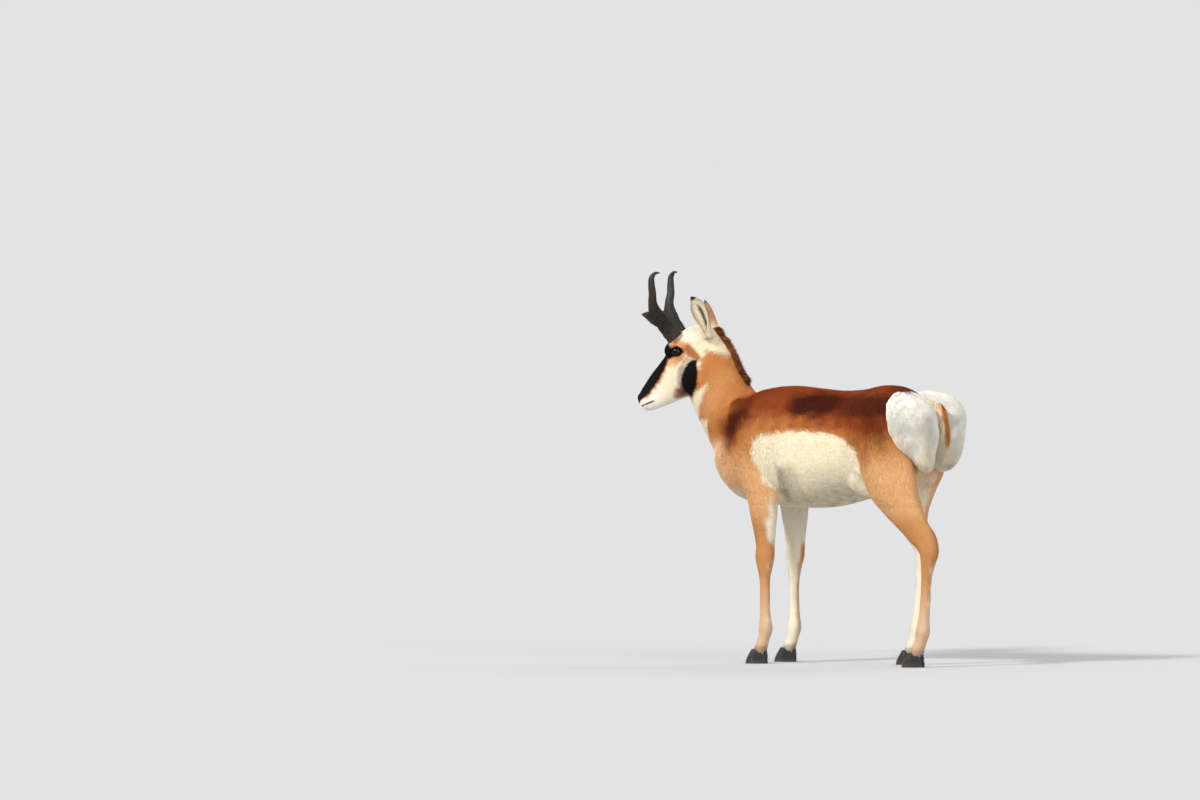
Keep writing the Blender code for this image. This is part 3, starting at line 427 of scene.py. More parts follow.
def ear_rings(name, side, count=26, arc=22):
    """Sections of a cupped ear: the wall goes round the back of each station, out and back in."""
    place_in = head_frame()
    rows = smooth_rows(EARS[name], count)
    opens = EAR_OPENS[name].normalized()
    rings = []
    for row, step in zip(rows, np.gradient(rows[:, :3], axis=0)):
        along = Vector(step).normalized()
        back = -(opens - along * opens.dot(along)).normalized()
        across = along.cross(back)
        radius, wall, cover = row[3:]
        flat = 1.0 if cover > 0.7 else 0.62 + 0.38 * (cover - 0.38) / 0.32
        ring = []
        for outward in (True, False):
            reach = radius if outward else max(radius - wall, radius * 0.35)
            turns = np.linspace(-0.5, 0.5, arc) * (1 if outward else -1)
            for turn in turns * cover * 2 * math.pi:
                behind = math.cos(turn) * reach - radius * 0.3
                offset = across * math.sin(turn) * reach + back * behind * flat
                ring.append(Vector(row[:3]) + offset)
        rings.append([place_in @ sided(point, side) for point in ring])
    return rings


def horn_rings(rows, side, count, points=24):
    """Oval sections of a horn, deep along s and flat along y."""
    place_in = head_frame()
    rows = smooth_rows(rows, count)
    rings = []
    deep = Vector((1, 0, 0))
    for row, step in zip(rows, np.gradient(rows[:, :3], axis=0)):
        along = Vector(step).normalized()
        deep = (deep - along * along.dot(deep)).normalized()
        flat = along.cross(deep)
        ring = oval(Vector(row[:3]), flat, deep, row[4], row[3], -row[3], points=points)
        rings.append([place_in @ sided(point, side) for point in ring])
    return rings


def add_object(name, data):
    """Puts a mesh, lamp or camera into the scene."""
    made = bpy.data.objects.new(name, data)
    bpy.context.scene.collection.objects.link(made)
    return made


def object_from(bm, name):
    """A finished bmesh as an object, its faces turned outwards."""
    bmesh.ops.recalc_face_normals(bm, faces=bm.faces)
    mesh = bpy.data.meshes.new(name)
    bm.to_mesh(mesh)
    bm.free()
    return add_object(name, mesh)


def settle(made):
    """Replaces the object's mesh with what its modifiers make of it."""
    bpy.context.view_layer.update()
    graph = bpy.context.evaluated_depsgraph_get()
    mesh = bpy.data.meshes.new_from_object(made.evaluated_get(graph))
    made.modifiers.clear()
    made.data = mesh
    return made


def join(target, others, operation="UNION"):
    """One Boolean with all the other objects, which are then removed."""
    group = bpy.data.collections.new("operands")
    bpy.context.scene.collection.children.link(group)
    for other in others:
        bpy.context.scene.collection.objects.unlink(other)
        group.objects.link(other)
    boolean = target.modifiers.new(operation, "BOOLEAN")
    boolean.operation = operation
    boolean.operand_type = "COLLECTION"
    boolean.collection = group
    boolean.solver = "MANIFOLD"
    settle(target)
    for other in others:
        bpy.data.objects.remove(other)
    bpy.data.collections.remove(group)
    return target


def remeshed(made, voxel, smoothing, calm=None):
    """Makes one skin of overlapping lumps and eases it, more where calm says so."""
    remesh = made.modifiers.new("one skin", "REMESH")
    remesh.mode = "VOXEL"
    remesh.voxel_size = voxel
    settle(made)
    ease = made.modifiers.new("ease", "SMOOTH")
    ease.iterations = smoothing
    ease.factor = 0.5
    if calm is not None:
        group = made.vertex_groups.new(name="calm")
        for vert in made.data.vertices:
            group.add([vert.index], calm(vert.co), "REPLACE")
        ease.vertex_group = "calm"
    settle(made)
    made.vertex_groups.clear()
    return made


def of_points(mesh, what):
    """The place ("co") or the "normal" of each of a mesh's points, as an array."""
    values = np.empty(len(mesh.vertices) * 3, np.float32)
    mesh.vertices.foreach_get(what, values)
    return values.reshape(-1, 3)


def sink(made, depth):
    """Moves each point in along its normal by depth, a number for each point."""
    places = of_points(made.data, "co") - of_points(made.data, "normal") * depth[:, None]
    made.data.vertices.foreach_set("co", places.astype(np.float32).ravel())
    made.data.update()


def past_seam(places):
    """How far each place lies towards the head from where head and body skins meet."""
    point, way = SEAM
    return (places - np.array(point)) @ np.array(way.normalized())


def ramp(values, low, high):
    """0 below low, 1 above high, and a smooth rise between."""
    t = np.clip((np.asarray(values, float) - low) / (high - low), 0, 1)
    return t * t * (3 - 2 * t)


def unit(vectors):
    """The vectors of an array, each made one long."""
    return vectors / np.maximum(np.linalg.norm(vectors, axis=-1, keepdims=True), 1e-9)


def trunk_calm(place):
    """How much of the smoothing a place gets, so that the thin legs keep their shape."""
    return min(max((place.z - CALM_BOTTOM) / CALM_RISE, CALM_LEAST), 1.0)


def make_body_skin():
    """Trunk, neck, legs and tail in one skin, a little under the coat's tips."""
    bm = bmesh.new()
    add_tube(bm, trunk_rings(60, 40))
    add_tube(bm, tube_rings(NECK, 34, 40))
    add_tube(bm, tube_rings(MANE_LINE, 20, 16))
    add_tube(bm, tube_rings(TAIL, 20, 18))
    for _, side in SIDES:
        add_tube(bm, tube_rings(FORE_LEG, 70, 28, side))
        add_tube(bm, tube_rings(swung(HIND_LEG, side), 72, 28, side))
        for place, radii, turn in TRUNK_MUSCLES:
            add_ball(bm, sided(place, side), radii, turn)
        for place, radii in RUMP_PUFFS:
            add_ball(bm, sided(place, side), [radius - RUMP_DEPTH for radius in radii])
    skin = remeshed(object_from(bm, "body skin"), BODY_VOXEL, BODY_SMOOTHING, trunk_calm)
    places = of_points(skin.data, "co")
    depth = LEG_DEPTH + (COAT_DEPTH - LEG_DEPTH) * ramp(places[:, 2], 0.42, 0.56)
    depth += np.maximum(past_seam(places), 0) * SEAM_SINK
    sink(skin, depth)
    return skin


def make_head_skin():
    """The head and the top of the neck, with orbits, ear roots and the swellings under the horns."""
    place_in = head_frame()
    bm = bmesh.new()
    add_tube(bm, head_rings(60, 48))
    add_tube(bm, tube_rings(NECK[3:], 30, 48))
    add_tube(bm, tube_rings(MANE_LINE[1:], 20, 16))
    for name, side in SIDES:
        for place, radii, turn in HEAD_MUSCLES:
            add_ball(bm, sided(place, side), radii, turn, place_in)
        add_ball(bm, sided(EYE, side), (EYE_RADIUS + LID,) * 3, 0, place_in)
        offset, radii, turn = EAR_ROOT
        root = Vector(EARS[name][0][:3]) + Vector(offset)
        add_ball(bm, sided(root, side), radii, turn, place_in, 32, 20)
        core = [row[:3] + (row[3] - CORE_INSET, row[4] - CORE_INSET) for row in HORN[:2]]
        add_tube(bm, horn_rings(core, side, 6))
        add_tube(bm, ear_rings(name, side)[:EAR_FOOT])
    skin = remeshed(object_from(bm, "head skin"), HEAD_VOXEL, HEAD_SMOOTHING)
    places = of_points(skin.data, "co")
    depth = FACE_DEPTH + (COAT_DEPTH - FACE_DEPTH) * ramp(-past_seam(places), -0.06, 0.0)
    depth += np.maximum(-past_seam(places), 0) * SEAM_SINK
    sink(skin, depth)
    return skin


def at_eye(along, rise):
    """The s and n of a place so far along the tilted opening of the lids, and so far above its middle."""
    c, s = math.cos(EYE_TILT), math.sin(EYE_TILT)
    return EYE.x + along * c - rise * s, EYE.z + along * s + rise * c


def eye_opening(place_in, side, points=28):
    """A prism along y, with the outline of the open lids."""
    ring = []
    for k in range(points):
        angle = 2 * math.pi * k / points
        rise = EYE_HEIGHT * math.copysign(abs(math.sin(angle)) ** LID_ARCH, math.sin(angle))
        ring.append(at_eye(EYE_LENGTH * math.cos(angle), rise))
    return [[place_in @ Vector((s, (EYE.y + reach) * side, n)) for s, n in ring] for reach in EYE_CUT]


def tube_object(name, rings):
    """One tube as an object."""
    bm = bmesh.new()
    add_tube(bm, rings)
    return object_from(bm, name)


def ball_object(name, centre, radii, turn, place_in, around=40, along=24):
    """One egg as an object."""
    bm = bmesh.new()
    add_ball(bm, centre, radii, turn, place_in, around, along)
    return object_from(bm, name)


def mouth_plate(place_in):
    """A thin leaning plate round the muzzle, hollow inside, which cuts the line of the mouth."""
    bm = bmesh.new()
    lean = Matrix.Translation(MOUTH_PLACE) @ Matrix.Rotation(math.radians(MOUTH_LEAN), 4, "Y")
    size = Matrix.Diagonal((*MOUTH_PLATE, 1))
    bmesh.ops.create_cube(bm, size=1, matrix=place_in @ lean @ size)
    plate = object_from(bm, "mouth plate")
    inside = tube_object("inside", head_rings(40, 28, MOUTH_CUT))
    return join(plate, [inside], "DIFFERENCE")


def make_skin():
    """One closed skin of body, head and ears, with eye sockets, nostrils and the line of the mouth."""
    place_in = head_frame()
    skin = make_body_skin()
    ears = [tube_object(f"ear {name}", ear_rings(name, side)) for name, side in SIDES]
    head = make_head_skin()
    join(head, ears)
    hollows = [mouth_plate(place_in)]
    for _, side in SIDES:
        hollows.append(ball_object("socket", sided(EYE, side), (EYE_RADIUS + SOCKET_GAP,) * 3, 0, place_in))
        hollows.append(tube_object("lids", eye_opening(place_in, side)))
        for place, radii, turn in NOSTRIL:
            hollows.append(ball_object("nostril", sided(place, side), radii, turn, place_in))
    join(head, hollows, "DIFFERENCE")
    join(skin, [head])
    skin.name = "skin"
    return skin


def to_head(places):
    """The places in the head's own frame, as s, y and n."""
    inverse = np.array(head_frame().inverted())
    return places @ inverse[:3, :3].T + inverse[:3, 3]


def noise(places, size, seed=0):
    """Smooth noise between about -1 and 1, from a few crossed waves of that size."""
    dice = np.random.default_rng(seed)
    total = np.zeros(len(places))
    for _ in range(5):
        wave = dice.normal(size=3)
        wave *= 2 * math.pi / (size * np.linalg.norm(wave) * dice.uniform(0.7, 1.5))
        total += np.sin(places @ wave + dice.uniform(0, 6.28))
    return total / 2.6


def depth_in(outline, x, y):
    """How deep inside the outline each point lies, and negative outside it."""
    outline = np.array(outline, float)
    point = np.stack([x, y], 1)
    best = np.full(len(point), np.inf)
    inside = np.zeros(len(point), bool)
    for start, end in zip(outline, np.roll(outline, -1, axis=0)):
        side = end - start
        t = np.clip(((point - start) @ side) / (side @ side), 0, 1)
        best = np.minimum(best, np.linalg.norm(point - start - t[:, None] * side, axis=1))
        crosses = (start[1] > point[:, 1]) != (end[1] > point[:, 1])
        rise = side[1] if side[1] else 1e-12
        inside ^= crosses & (point[:, 0] < start[0] + side[0] * (point[:, 1] - start[1]) / rise)
    return np.where(inside, best, -best)


def paint(colours, colour, cover):
    """Lays a colour over the others where cover, from 0 to 1, says."""
    colours += (np.array(colour) - colours) * np.clip(cover, 0, 1)[:, None]


def soft(depth, width):
    """Turns a depth inside an outline into cover, with an edge of that width."""
    return ramp(depth, -width / 2, width / 2)


# The coat's colours
def from_screen(*values):
    """A linear colour from its red, green and blue on a screen, 0 to 255."""
    return tuple((v / 255 / 12.92) if v < 11 else ((v / 255 + 0.055) / 1.055) ** 2.4 for v in values)


TAN = from_screen(234, 180, 128)
ORANGE = from_screen(200, 130, 70)
RUSSET = from_screen(142, 64, 26)
DARK = from_screen(62, 17, 6)
CREAM = from_screen(250, 236, 204)
WHITE = from_screen(252, 248, 238)
BELLY = from_screen(238, 226, 198)
DUST = from_screen(146, 122, 96)
GREY = from_screen(128, 118, 108)
BLACK = from_screen(14, 11, 10)
MANE_BROWN = from_screen(138, 76, 42)
LEG_TAN = from_screen(192, 134, 80)
LEG_PALE = from_screen(244, 234, 212)
HOOF_GREY = from_screen(120, 104, 96)
LIP_DARK = from_screen(64, 46, 40)
EAR_BACK = from_screen(196, 146, 108)

# Outlines seen from the side, in x and z
FLANK_PATCH = (
    (-0.106, 0.690), (-0.090, 0.704), (-0.060, 0.712), (0.000, 0.717), (0.100, 0.719), (0.185, 0.715),
    (0.235, 0.700), (0.268, 0.668), (0.284, 0.625), (0.294, 0.585), (0.305, 0.550), (0.330, 0.500),
    (0.335, 0.380), (-0.030, 0.380), (-0.012, 0.530), (-0.030, 0.541), (-0.052, 0.550), (-0.068, 0.566),
    (-0.082, 0.603), (-0.104, 0.650),
)
# The greyer hollow behind the elbow: painted shade, with some grey skin showing
ELBOW_HOLLOW = (
    (-0.012, 0.618), (0.030, 0.620), (0.066, 0.610), (0.052, 0.550), (0.012, 0.512), (-0.014, 0.505),
)
UPPER_THROAT_BAND = (
    (-0.296, 0.862), (-0.330, 0.842), (-0.365, 0.822), (-0.430, 0.815), (-0.430, 0.755),
    (-0.352, 0.752), (-0.332, 0.795),
)
LOWER_THROAT_BAND = (
    (-0.300, 0.752), (-0.345, 0.752), (-0.420, 0.752), (-0.420, 0.668), (-0.318, 0.668),
    (-0.306, 0.712),
)
NAPE_PATCH = (
    (-0.315, 1.040), (-0.270, 1.026), (-0.244, 0.985), (-0.238, 0.952), (-0.268, 0.948),
    (-0.300, 0.958), (-0.330, 0.990),
)
# How far forward the white rump patch reaches: heights and the x there
RUMP_EDGE = (
    (0.575, 0.602, 0.630, 0.665, 0.710, 0.772, 0.800, 0.860),
    (0.522, 0.502, 0.485, 0.449, 0.417, 0.397, 0.392, 0.388),
)
# How dark the saddle is along the back, partly darker hair and partly painted shade: x and the strength there
SADDLE = (
    (-0.015, 0.015, 0.05, 0.14, 0.20, 0.30, 0.345, 0.380, 0.395),
    (0, 0.75, 1.25, 1.2, 0.80, 0.75, 0.9, 0.95, 0),
)

# Outlines on the head, in s and n
FACE_MASK = (
    (0.320, -0.021), (0.2865, -0.0192), (0.2496, -0.0250), (0.1958, -0.0193), (0.1612, -0.0105),
    (0.1333, 0.0007), (0.1220, 0.0105), (0.1080, 0.0200), (0.0950, 0.0300), (0.0700, 0.0380),
    (0.0700, 0.0900), (0.320, 0.0900),
)
CROWN = (
    (0.073, 0.034), (0.066, 0.100), (-0.060, 0.100), (-0.048, -0.010), (-0.008, -0.034),
    (0.012, -0.041), (0.036, -0.006),
)
CHEEK_PATCH = (
    (0.0790, -0.0505), (0.0645, -0.0670), (0.0900, -0.0960), (0.1180, -0.1200), (0.1586, -0.1290),
    (0.1654, -0.1026), (0.1440, -0.0760), (0.1175, -0.0590),
)
CHEEK_FRINGE = (
    (0.1500, -0.0820), (0.1800, -0.0770), (0.2060, -0.0880), (0.1960, -0.1130), (0.1680, -0.1330),
    (0.1500, -0.1300),
)
BROWN_STRIPE = (
    (0.0440, -0.0060), (0.0680, -0.0120), (0.0760, -0.0300), (0.0740, -0.0500), (0.0640, -0.0720),
    (0.0500, -0.0760), (0.0450, -0.0480),
)
# Black from the eye's front corner up to the horn
EYE_LINE = (
    (0.1330, 0.0080), (0.1240, 0.0240), (0.1060, 0.0420), (0.0900, 0.0460), (0.0950, 0.0250),
    (0.1000, 0.0080), (0.1080, -0.0020), (0.1220, -0.0060),
)
TAN_FACE = (
    (0.0700, 0.0300), (0.1150, 0.0260), (0.1330, 0.0060), (0.1480, -0.0080), (0.1280, -0.0300),
    (0.0960, -0.0380), (0.0640, -0.0300), (0.0450, -0.0160),
)


def spot(x, z, place, half_length, half_width, turn):
    """1 at the middle of a leaning oval seen from the side, 0 at its rim and negative outside it."""
    c, s = math.cos(math.radians(turn)), math.sin(math.radians(turn))
    along = (x - place[0]) * c + (z - place[1]) * s
    aside = (z - place[1]) * c - (x - place[0]) * s
    return 1 - np.hypot(along / half_length, aside / half_width)


def body_colours(places, normals):
    """The colours of trunk, neck, legs and tail."""
    x, _, z = places.T
    ragged = noise(places, 0.030, 3) * 0.004 + noise(places, 0.009, 4) * 0.0022
    patchy = noise(places, 0.090, 5) * 0.5 + noise(places, 0.030, 6) * 0.35
    colours = np.tile(ORANGE, (len(places), 1)).astype(float)
    pale = ramp(z, 0.700, 0.590) + ramp(spot(x, z, (-0.300, 0.800), 0.16, 0.045, 62), -0.2, 0.8) * 0.35
    paint(colours, TAN, pale * 0.9 + ramp(patchy, -0.2, 1.2) * 0.25)
    start = np.interp(x, (-0.26, -0.05, 0.15, 0.33, 0.42), (0.735, 0.712, 0.692, 0.668, 0.690))
    back = ramp(z + ragged * 3 + patchy * 0.008, start, start + np.interp(x, (0, 0.15), (0.090, 0.072)))
    paint(colours, RUSSET, back * ramp(x - (z - 0.845) * 0.766 + patchy * 0.01, -0.215, -0.125))
    # The saddle's band: partly darker hair, partly painted shade along the upper barrel
    band = ramp(1 - np.abs(z - 0.801 + patchy * 0.005) / 0.046 + patchy * 0.22, 0.0, 0.70)
    paint(colours, DARK, np.minimum(band * np.interp(x, *SADDLE), 1) * 0.96)
    # A dark patch at the shoulder's front edge: partly darker hair, partly painted shade
    shoulder = spot(x, z, (-0.184, 0.748), 0.080, 0.043, 50)
    paint(colours, RUSSET, ramp(shoulder + patchy * 0.30, -0.8, 0.3) * 0.8)
    paint(colours, DARK, ramp(shoulder + patchy * 0.30, -0.15, 0.6) * 0.88)
    loin = spot(x, z, (0.292, 0.682), 0.075, 0.042, -75)
    paint(colours, RUSSET, ramp(loin + patchy * 0.30, -0.3, 0.8) * 0.55)
    # Painted light: the front of the chest made lighter, tan with a little cream, where light falls on it
    chest = ramp(x, -0.19, -0.26) * ramp(z, 0.72, 0.65)
    paint(colours, TAN, chest * 0.9)
    paint(colours, CREAM, chest * 0.25)
    # Below the hip bone's crest: partly darker hair, partly painted shadow
    hip = spot(x, z, (0.345, 0.735), 0.080, 0.040, -62)
    paint(colours, DARK, ramp(hip + patchy * 0.25, -0.5, 0.8) * 0.55)
    top_line = ramp(x, 0.31, 0.36) * ramp(z, 0.836, 0.852)
    paint(colours, DARK, top_line * 0.6)
    flank_colours(colours, places, normals, ragged, patchy)
    upper = soft(depth_in(UPPER_THROAT_BAND, x, z) + ragged, 0.005)
    lower = soft(depth_in(LOWER_THROAT_BAND, x, z) + ragged, 0.005)
    paint(colours, CREAM, np.maximum(upper, lower) * ramp(x, -0.262, -0.285))
    leg_colours(colours, places, normals, ragged)
    rump_colours(colours, places, ragged)
    return colours


def flank_colours(colours, places, normals, ragged, patchy):
    """The cream flank, the greyer belly, the white line down the brisket, and painted shade behind the elbow
    and in the stifle's fold.
    """
    x, y, z = places.T
    flank = soft(depth_in(FLANK_PATCH, x, z) + ragged + noise(places, 0.004, 8) * 0.0012, 0.011)
    paint(colours, CREAM, flank)
    fold = 0.618 + 0.012 * np.sin((x - 0.05) * 11)
    low = ramp(z + patchy * 0.006, fold + 0.004, fold - 0.040)
    paint(colours, BELLY, flank * low * 0.9 * ramp(x, -0.02, 0.04))
    dust = ramp(noise(places, 0.035, 10) + noise(places, 0.011, 11) * 0.7, 0.25, 1.3) * ramp(z, 0.590, 0.505)
    paint(colours, DUST, flank * dust * 0.60)
    # Painted shade in the hollow behind the elbow, with some grey skin, strongest next to the leg
    hollow = soft(depth_in(ELBOW_HOLLOW, x, z) + ragged * 1.5, 0.034)
    paint(colours, GREY, hollow * flank * (0.22 + 0.48 * ramp(x, 0.040, -0.005)))
    under = ramp(-normals[:, 2], 0.35, 0.75) * ramp(z, 0.40, 0.46)
    paint(colours, BELLY, under * ramp(x, -0.30, -0.26) * (1 - flank) * ramp(z, 0.56, 0.53))
    faces_down = ramp(-normals[:, 0] * 0.7 - normals[:, 2], 0.25, 0.60)
    brisket = ramp(0.060 - np.abs(y) + ragged, -0.006, 0.008) * faces_down
    paint(colours, CREAM, brisket * ramp(z, 0.690, 0.670) * ramp(x, -0.06, -0.09))
    # Painted shade: a short grey line in the skin fold at the stifle
    stifle = spot(x, z, (0.272, 0.596), 0.022, 0.0045, -8)
    paint(colours, GREY, ramp(stifle + ragged * 20, -0.3, 0.5) * 0.7)


def leg_colours(colours, places, normals, ragged):
    """Tan outside and in front, pale inside and behind, from the elbow and the stifle down."""
    x, y, z = places.T
    leg = ramp(z, 0.540, 0.470) * ramp(np.abs(y), 0.030, 0.042)
    paint(colours, LEG_TAN, leg * ramp(z, 0.52, 0.42) * 0.85)
    inward = -normals[:, 1] * np.sign(y)
    fore = ramp(x, 0.10, 0.06)
    behind = normals[:, 0] * fore * ramp(z, 0.33, 0.40) + 0.4 * normals[:, 0] * ramp(z, 0.36, 0.30)
    stray = noise(places, 0.050, 17) * 0.14 + ragged * 22
    pale = ramp(np.maximum(inward, behind * 0.95) + stray, 0.22, 0.80)
    inner_top = ramp(z, 0.620, 0.560) * ramp(np.abs(y), 0.020, 0.036) * ramp(x, 0.20, 0.30)
    paint(colours, LEG_PALE, np.maximum(leg, inner_top) * pale)
    shin = ramp(-normals[:, 0], 0.45, 0.80) * (1 - fore) * ramp(z, 0.60, 0.54) * ramp(z, 0.36, 0.42)
    paint(colours, LEG_PALE, leg * shin * 0.55)
    paint(colours, LEG_PALE, leg * ramp(z, 0.30, 0.12) * 0.35)
    paint(colours, HOOF_GREY, ramp(z, 0.062, 0.048) * 0.6)


def edge_of_rump(places):
    """How far behind the front edge of the white patch each place lies; it swings with the right leg."""
    x, y, z = places.T
    return x - np.interp(z, *RUMP_EDGE) - stride_at(z) * ramp(y, 0.010, 0.040)


def rump_cover(places, ragged=0.0):
    """How far each place belongs to the white rump patch, 0 to 1."""
    return ramp(edge_of_rump(places) + ragged * 1.2, -0.004, 0.005) * ramp(places[:, 2], 0.560, 0.585)


def rump_colours(colours, places, ragged):
    """The white rump patch, with the crease beside the tail painted brown, partly brown hair and partly
    painted shade, and the brown tail.
    """
    x, y, z = places.T
    patch = rump_cover(places, ragged)
    paint(colours, WHITE, patch)
    paint(colours, CREAM, patch * ramp(noise(places, 0.050, 9) + (0.68 - z) * 6, 0.1, 1.4) * 0.9)
    # The crease beside the tail, painted russet: partly brown hair in the cleft, partly painted shade
    aside = np.abs(y) + ragged
    crease = ramp(aside, 0.012, 0.017) * ramp(aside, 0.031, 0.024) * ramp(z, 0.60, 0.64) * ramp(z, 0.80, 0.77)
    paint(colours, RUSSET, crease * patch * 0.85)
    tail = ramp(0.021 - np.abs(y), -0.002, 0.004) * ramp(x, 0.425, 0.450) * ramp(z, 0.68, 0.70)
    paint(colours, CREAM, tail)
    paint(colours, ORANGE, tail * ramp(y + ragged, -0.003, 0.004) * 0.9 * ramp(z + ragged * 6, 0.80, 0.78))
    below = ramp(0.013 - np.abs(y), -0.003, 0.003) * ramp(x, 0.42, 0.44) * ramp(z, 0.700, 0.690)
    paint(colours, RUSSET, below * 0.7)


def fine_edges(places):
    """How far the edges of the head's markings stray."""
    return noise(places, 0.006, 12) * 0.0011 + noise(places, 0.014, 13) * 0.0013


def head_colours(places):
    """The colours of the head, without the ears."""
    s, y, n = to_head(places).T
    fine = fine_edges(places)
    colours = np.tile(CREAM, (len(places), 1)).astype(float)
    paint(colours, WHITE, ramp(s, 0.18, 0.24) * 0.7)
    tan = depth_in(TAN_FACE, s, n) + fine * 2
    paint(colours, TAN, soft(tan, 0.018))
    paint(colours, ORANGE, soft(tan - 0.004, 0.016) * 0.7 * ramp(s, 0.130, 0.100))
    stripe = depth_in(BROWN_STRIPE, s, n) + fine * 1.5
    paint(colours, ORANGE, soft(stripe, 0.010) * 0.9)
    paint(colours, RUSSET, soft(stripe - 0.003, 0.008) * 0.45)
    under_mask = soft(depth_in(FACE_MASK, s - 0.004, n + 0.0085) + fine * 2, 0.010) * ramp(s, 0.12, 0.15)
    paint(colours, ORANGE, under_mask * ramp(s, 0.285, 0.255) * 0.8)
    close = soft(depth_in(FACE_MASK, s - 0.002, n + 0.0035) + fine * 2, 0.006)
    paint(colours, RUSSET, close * ramp(s, 0.28, 0.25) * 0.7)
    narrow = np.where(s < 0.125, ramp(0.024 - np.abs(y), -0.002, 0.003), 1.0)
    paint(colours, BLACK, soft(depth_in(FACE_MASK, s, n) + fine, 0.003) * narrow)
    crown = soft(depth_in(CROWN, s, n) + fine * 2, 0.010)
    paint(colours, CREAM, crown)
    paint(colours, WHITE, crown * 0.45)
    paint(colours, BLACK, soft(depth_in(EYE_LINE, s, n) + fine, 0.003))
    c, t = math.cos(EYE_TILT), math.sin(EYE_TILT)
    along, rise = (s - EYE.x) * c + (n - EYE.z) * t, -(s - EYE.x) * t + (n - EYE.z) * c
    ring = 1 - np.sqrt(((along - 0.002) / 0.0265) ** 2 + (rise / 0.0168) ** 2)
    paint(colours, BLACK, ramp(ring + fine * 30, -0.05, 0.06) * ramp(np.abs(y), 0.030, 0.038))
    paint(colours, BLACK, ramp(s, 0.283, 0.288) * ramp(n, -0.024, -0.020))
    lips = ramp(0.0042 - np.abs(n + 0.0390 - (s - 0.2830) * 0.445), 0, 0.003) * ramp(s, 0.250, 0.258)
    paint(colours, LIP_DARK, lips)
    return colours


def cheek_colours(colours, places):
    """The black patch behind each jaw, speckled in front and brown below, over head and neck alike."""
    s, y, n = to_head(places).T
    fine = fine_edges(places)
    near = ramp(np.abs(y), 0.008, 0.016) * ramp(past_seam(places), -0.075, -0.060)
    fringe = depth_in(CHEEK_FRINGE, s, n) + fine * 2
    paint(colours, RUSSET, soft(fringe, 0.012) * 0.75 * near)
    paint(colours, DARK, soft(fringe - 0.004, 0.012) * 0.55 * near * ramp(s, 0.200, 0.175))
    speckle = ramp(noise(places, 0.004, 15), -0.6, 0.9) * 0.0045
    cheek = depth_in(CHEEK_PATCH, s, n) + fine
    front = soft(cheek + 0.016, 0.010) * ramp(n, -0.112, -0.098) * ramp(s + n * 0.6, 0.045, 0.060) * near
    paint(colours, GREY, front * 0.30)
    paint(colours, BLACK, ramp(noise(places, 0.0065, 16), 0.10, 0.45) * front * 0.85)
    paint(colours, RUSSET, soft(cheek + 0.004, 0.010) * 0.5 * ramp(n, -0.06, -0.09) * near)
    paint(colours, BLACK, soft(cheek + speckle * ramp(s, 0.11, 0.14), 0.0035) * near)


def ear_part(places):
    """Which places are on an ear, and how far up it and to the side of its middle they lie."""
    s, y, n = to_head(places).T
    up = np.zeros(len(places))
    aside = np.zeros(len(places))
    on_ear = np.zeros(len(places), bool)
    for name, side in SIDES:
        rows = smooth_rows(EARS[name], 60)
        own = np.flatnonzero((np.sign(y) == side) & (n > -0.045) & (s < 0.004))
        points = np.stack([s, y * side, n], 1)[own]
        if not len(points):
            continue
        gaps = np.linalg.norm(points[:, None] - rows[None, :, :3], axis=2)
        nearest = gaps.argmin(1)
        opens = np.array(EAR_OPENS[name].normalized())
        steps = unit(np.gradient(rows[:, :3], axis=0))
        back = unit(steps * (steps @ opens)[:, None] - opens)
        across = np.cross(steps, back)
        near = gaps.min(1) < rows[nearest, 3] * 1.5 + 0.004
        up[own] = np.where(near, nearest / 59, 0)
        aside[own] = ((points - rows[nearest, :3]) * across[nearest]).sum(1) / rows[nearest, 3]
        on_ear[own] = near & (nearest > 6)
    return on_ear, up, aside


def ear_colours(places, normals, up, aside):
    """Tan backs, cream inside with a dark streak of painted shade down the cup's hollow, and dark rims and
    tips.
    """
    y = to_head(places)[:, 1]
    turned = normals @ np.array(head_frame().inverted())[:3, :3].T
    facing = np.zeros(len(places))
    for name, side in SIDES:
        opens = EAR_OPENS[name].normalized()
        own = turned[:, 0] * opens.x + turned[:, 1] * side * opens.y + turned[:, 2] * opens.z
        facing = np.where(np.sign(y) == side, own, facing)
    colours = np.tile(EAR_BACK, (len(places), 1)).astype(float)
    paint(colours, CREAM, ramp(up, 0.50, 0.15) * 0.8)
    cup = ramp(facing, 0.0, 0.25) * ramp(up, 0.12, 0.25)
    paint(colours, CREAM, cup)
    wisps = noise(places, 0.006, 33) * 0.06
    # Painted shade: the dark streak down the middle of the cup, in its hollow
    streak = ramp(0.26 - np.abs(aside - 0.06) + wisps, -0.08, 0.16) * cup * ramp(up, 0.86, 0.66)
    paint(colours, BLACK, streak * 0.90)
    rim = ramp(np.abs(aside) + wisps, 0.72, 0.90) * ramp(up, 0.25, 0.45)
    paint(colours, GREY, rim * cup * 0.55)
    paint(colours, BLACK, ramp(np.abs(aside), 0.93, 0.99) * ramp(up, 0.40, 0.60) * 0.55)
    paint(colours, BLACK, ramp(up + noise(places, 0.01, 31) * 0.03, 0.90, 0.95))
    return colours


def behind_line(places, line):
    """How far to the side of a line, and how far behind it, places at the same height lie."""
    order = np.argsort(line[:, 2])
    x, y, z = places.T
    return y - np.interp(z, line[order, 2], line[order, 1]), x - np.interp(z, line[order, 2], line[order, 0])


